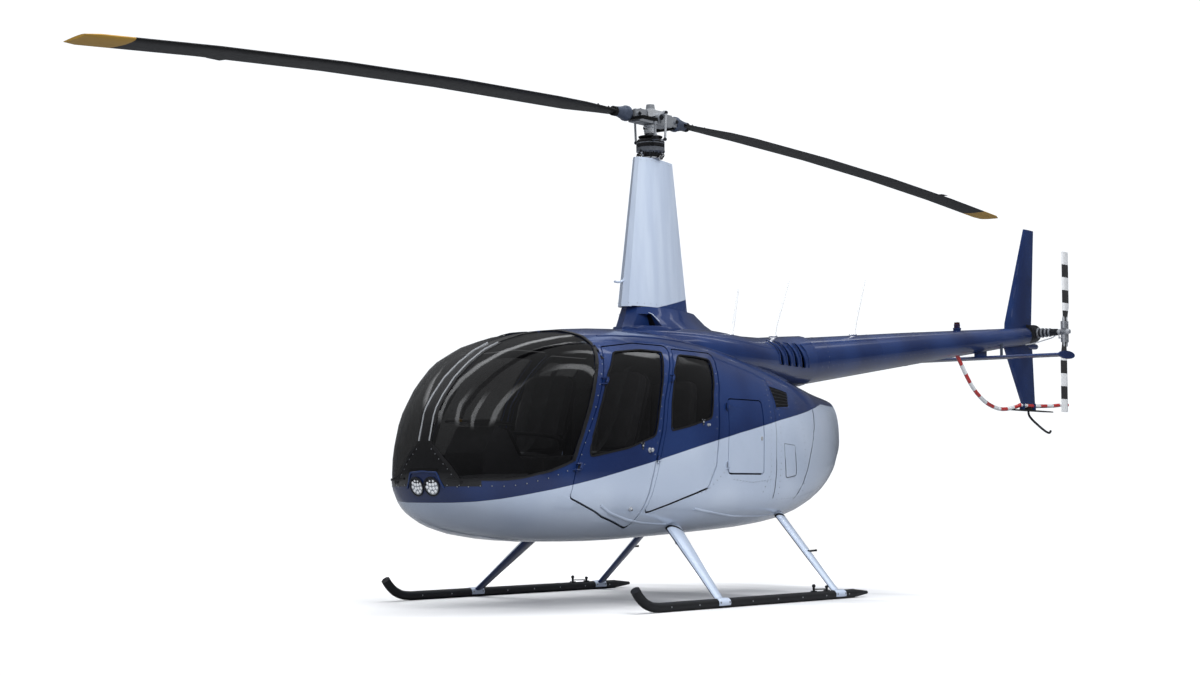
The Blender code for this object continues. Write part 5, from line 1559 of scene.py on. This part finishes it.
# %% Grips, pedals and the collective levers
CYCLIC_GRIP = ((0.012, 0), (0.017, 0.012), (0.015, 0.05), (0.018, 0.095), (0.013, 0.11))
LEVER_GRIP = ((0.014, 0), (0.018, 0.01), (0.017, 0.10), (0.012, 0.125))
FLOOR_TOP = 0.6205
handles, levers = Piece(), Piece()
for hand, side in HANDS:
    handles.turned(at(side * 0.36, -1.415, 1.035), (0, -0.1, 1), CYCLIC_GRIP, 14)
    root, knee = at(side * 0.045, -0.98, 0.69), at(side * 0.05, -1.18, 0.80)
    end = at(side * 0.05, -1.30, 0.855)
    levers.rod(root, knee, 0.010)
    levers.rod(knee, end, 0.010)
    handles.turned(knee + (end - knee) * 0.25, end - knee, LEVER_GRIP, 14)
    levers.rod(at(side * 0.045, -0.98, FLOOR_TOP), root, 0.012)
    for x in (side * 0.24, side * 0.42):
        levers.rod(at(x, -1.90, FLOOR_TOP), at(x, -1.93, 0.78), 0.008)
        levers.box(at(x - 0.045, -1.945, 0.775), at(x + 0.045, -1.915, 0.800), 0.004)
handles.done("hand_grips", RUBBER)
levers.done("levers_and_pedals", DARK_STEEL)

# %% [markdown]
# ## Studio
# A pale floor, a white sky and three large soft lamps give the even light of a cut-out photograph. The
# camera stands at the photograph's place: low, ahead and to port, with a 60 mm lens.

# %% The floor
def fading_floor():
    """Painted shadow under the part, grey in long patches, then white around it, and as white as the sky
    further out, so that no horizon shows.

    Only the camera sees it so pale: for the light that it throws back, it is a grey floor.
    """
    ground = Finish("studio_floor")
    seen = ground.out("ShaderNodeLightPath")
    distance = ground.vectors("LENGTH", ground.place, output="Value")
    far = ground.soft(distance, 3.0, 9.0)
    pale = ground.mix(ground.noise(0.6), rgb(243, 244, 245), rgb(249, 249, 250))
    # Painted shadow: the floor greys under the part, in long patches, and clears by 3.4 m from the middle.
    painted_light_streaks = ground.soft(ground.noise(0.5, 2.0, (1, 3, 1)), 0.35, 0.70)
    under = 1 - ground.soft(distance, 0.4, 3.4)
    pale = ground.mix(under * (0.45 + painted_light_streaks * 0.35), pale, rgb(150, 152, 157))
    seen_colour = ground.mix(far, pale, (0, 0, 0, 1))
    ground.set(Base_Color=ground.mix(seen, rgb(128, 130, 134), seen_colour), Roughness=0.6,
               Emission_Color=ground.mix(far * seen, (0, 0, 0, 1), (1, 1, 1, 1)))
    ground.shader.inputs["Emission Strength"].default_value = 1.0
    return ground.material


# %% The sky
MIRROR_DIM, MIRROR_LIFT, MIRROR_BANDS = 0.05, 0.16, 1.5
SKY_GLOW, BEHIND_PART, BEHIND_GLASS = 0.80, 1.1, 0.15


def sky():
    """White where the camera looks, dark behind glass; in mirrors dim, with soft bright bands overhead."""
    world = bpy.data.worlds.new("studio_sky")
    world.use_nodes = True
    tree = world.node_tree
    back = tree.nodes["Background"]
    back.inputs["Color"].default_value = (0.95, 0.97, 1.0, 1)
    path = tree.nodes.new("ShaderNodeLightPath")
    seen, mirrored, through = (
        Wire(tree, path.outputs[n]) for n in ("Is Camera Ray", "Is Glossy Ray", "Transparent Depth"))
    split = tree.nodes.new("ShaderNodeSeparateXYZ")
    tree.links.new(tree.nodes.new("ShaderNodeTexCoord").outputs["Generated"], split.inputs[0])
    x, _, z = (Wire(tree, split.outputs[k]) for k in range(3))

    def ramp(value, low, high):
        node = tree.nodes.new("ShaderNodeMapRange")
        node.interpolation_type = "SMOOTHSTEP"
        for slot, item in (("Value", value), ("From Min", low), ("From Max", high)):
            plug(tree, node.inputs[slot], item)
        return Wire(tree, node.outputs[0])

    bands = ramp((x + z * 0.4).wave(0.34), 0.55, 0.9) * ramp(z, 0.50, 0.62) * (1 - ramp(z, 0.80, 0.92))
    mirror = MIRROR_DIM + ramp(z, -0.1, 0.9) * MIRROR_LIFT + bands * MIRROR_BANDS
    glow = SKY_GLOW + mirrored * (mirror - SKY_GLOW)
    behind = BEHIND_PART - (through > 0.5) * (BEHIND_PART - BEHIND_GLASS)
    plug(tree, back.inputs["Strength"], glow + seen * (behind - glow))
    return world


# %% Lamps, stage and camera
LAMPS = (  # name, place, target, sizes and watts
    ("key_lamp", (8.5, -6.0, 7.5), (0, 0, 1.2), (5.0, 5.0), 900),
    ("roof_lamp", (0, 2.5, 9.5), (0, 1.0, 1.0), (12.0, 3.0), 980),
    ("far_lamp", (-9, 5, 6), (0, 0, 1.5), (5.0, 5.0), 360),
)
CAMERA_YAW, CAMERA_PITCH = math.radians(39.618), math.radians(4.290)


def area_lamp(name, place, target, sizes, power):
    lamp = bpy.data.objects.new(name, bpy.data.lights.new(name, "AREA"))
    lamp.data.shape = "RECTANGLE"
    lamp.data.size, lamp.data.size_y = sizes
    lamp.data.energy = power
    lamp.location = place
    lamp.rotation_euler = (Vector(target) - Vector(place)).to_track_quat("-Z", "Y").to_euler()
    lamp.visible_glossy = False
    bpy.context.scene.collection.objects.link(lamp)


def studio():
    bpy.ops.mesh.primitive_plane_add(size=90, location=(0, 0, -0.0005))
    floor = bpy.context.object
    floor.name = "studio_floor"
    floor.data.materials.append(fading_floor())
    bpy.context.scene.world = sky()
    bpy.context.scene.view_settings.view_transform = "Standard"
    for lamp in LAMPS:
        area_lamp(*lamp)


def camera():
    made = bpy.data.objects.new("photo_camera", bpy.data.cameras.new("photo_camera"))
    made.location = at(9.0248, -11.4851, 0.7968)
    made.rotation_euler = (math.pi / 2 + CAMERA_PITCH, 0, CAMERA_YAW)
    made.data.lens, made.data.sensor_width = 60.0, 36.0
    made.data.clip_end = 200
    bpy.context.scene.collection.objects.link(made)
    bpy.context.scene.camera = made


studio()
camera()
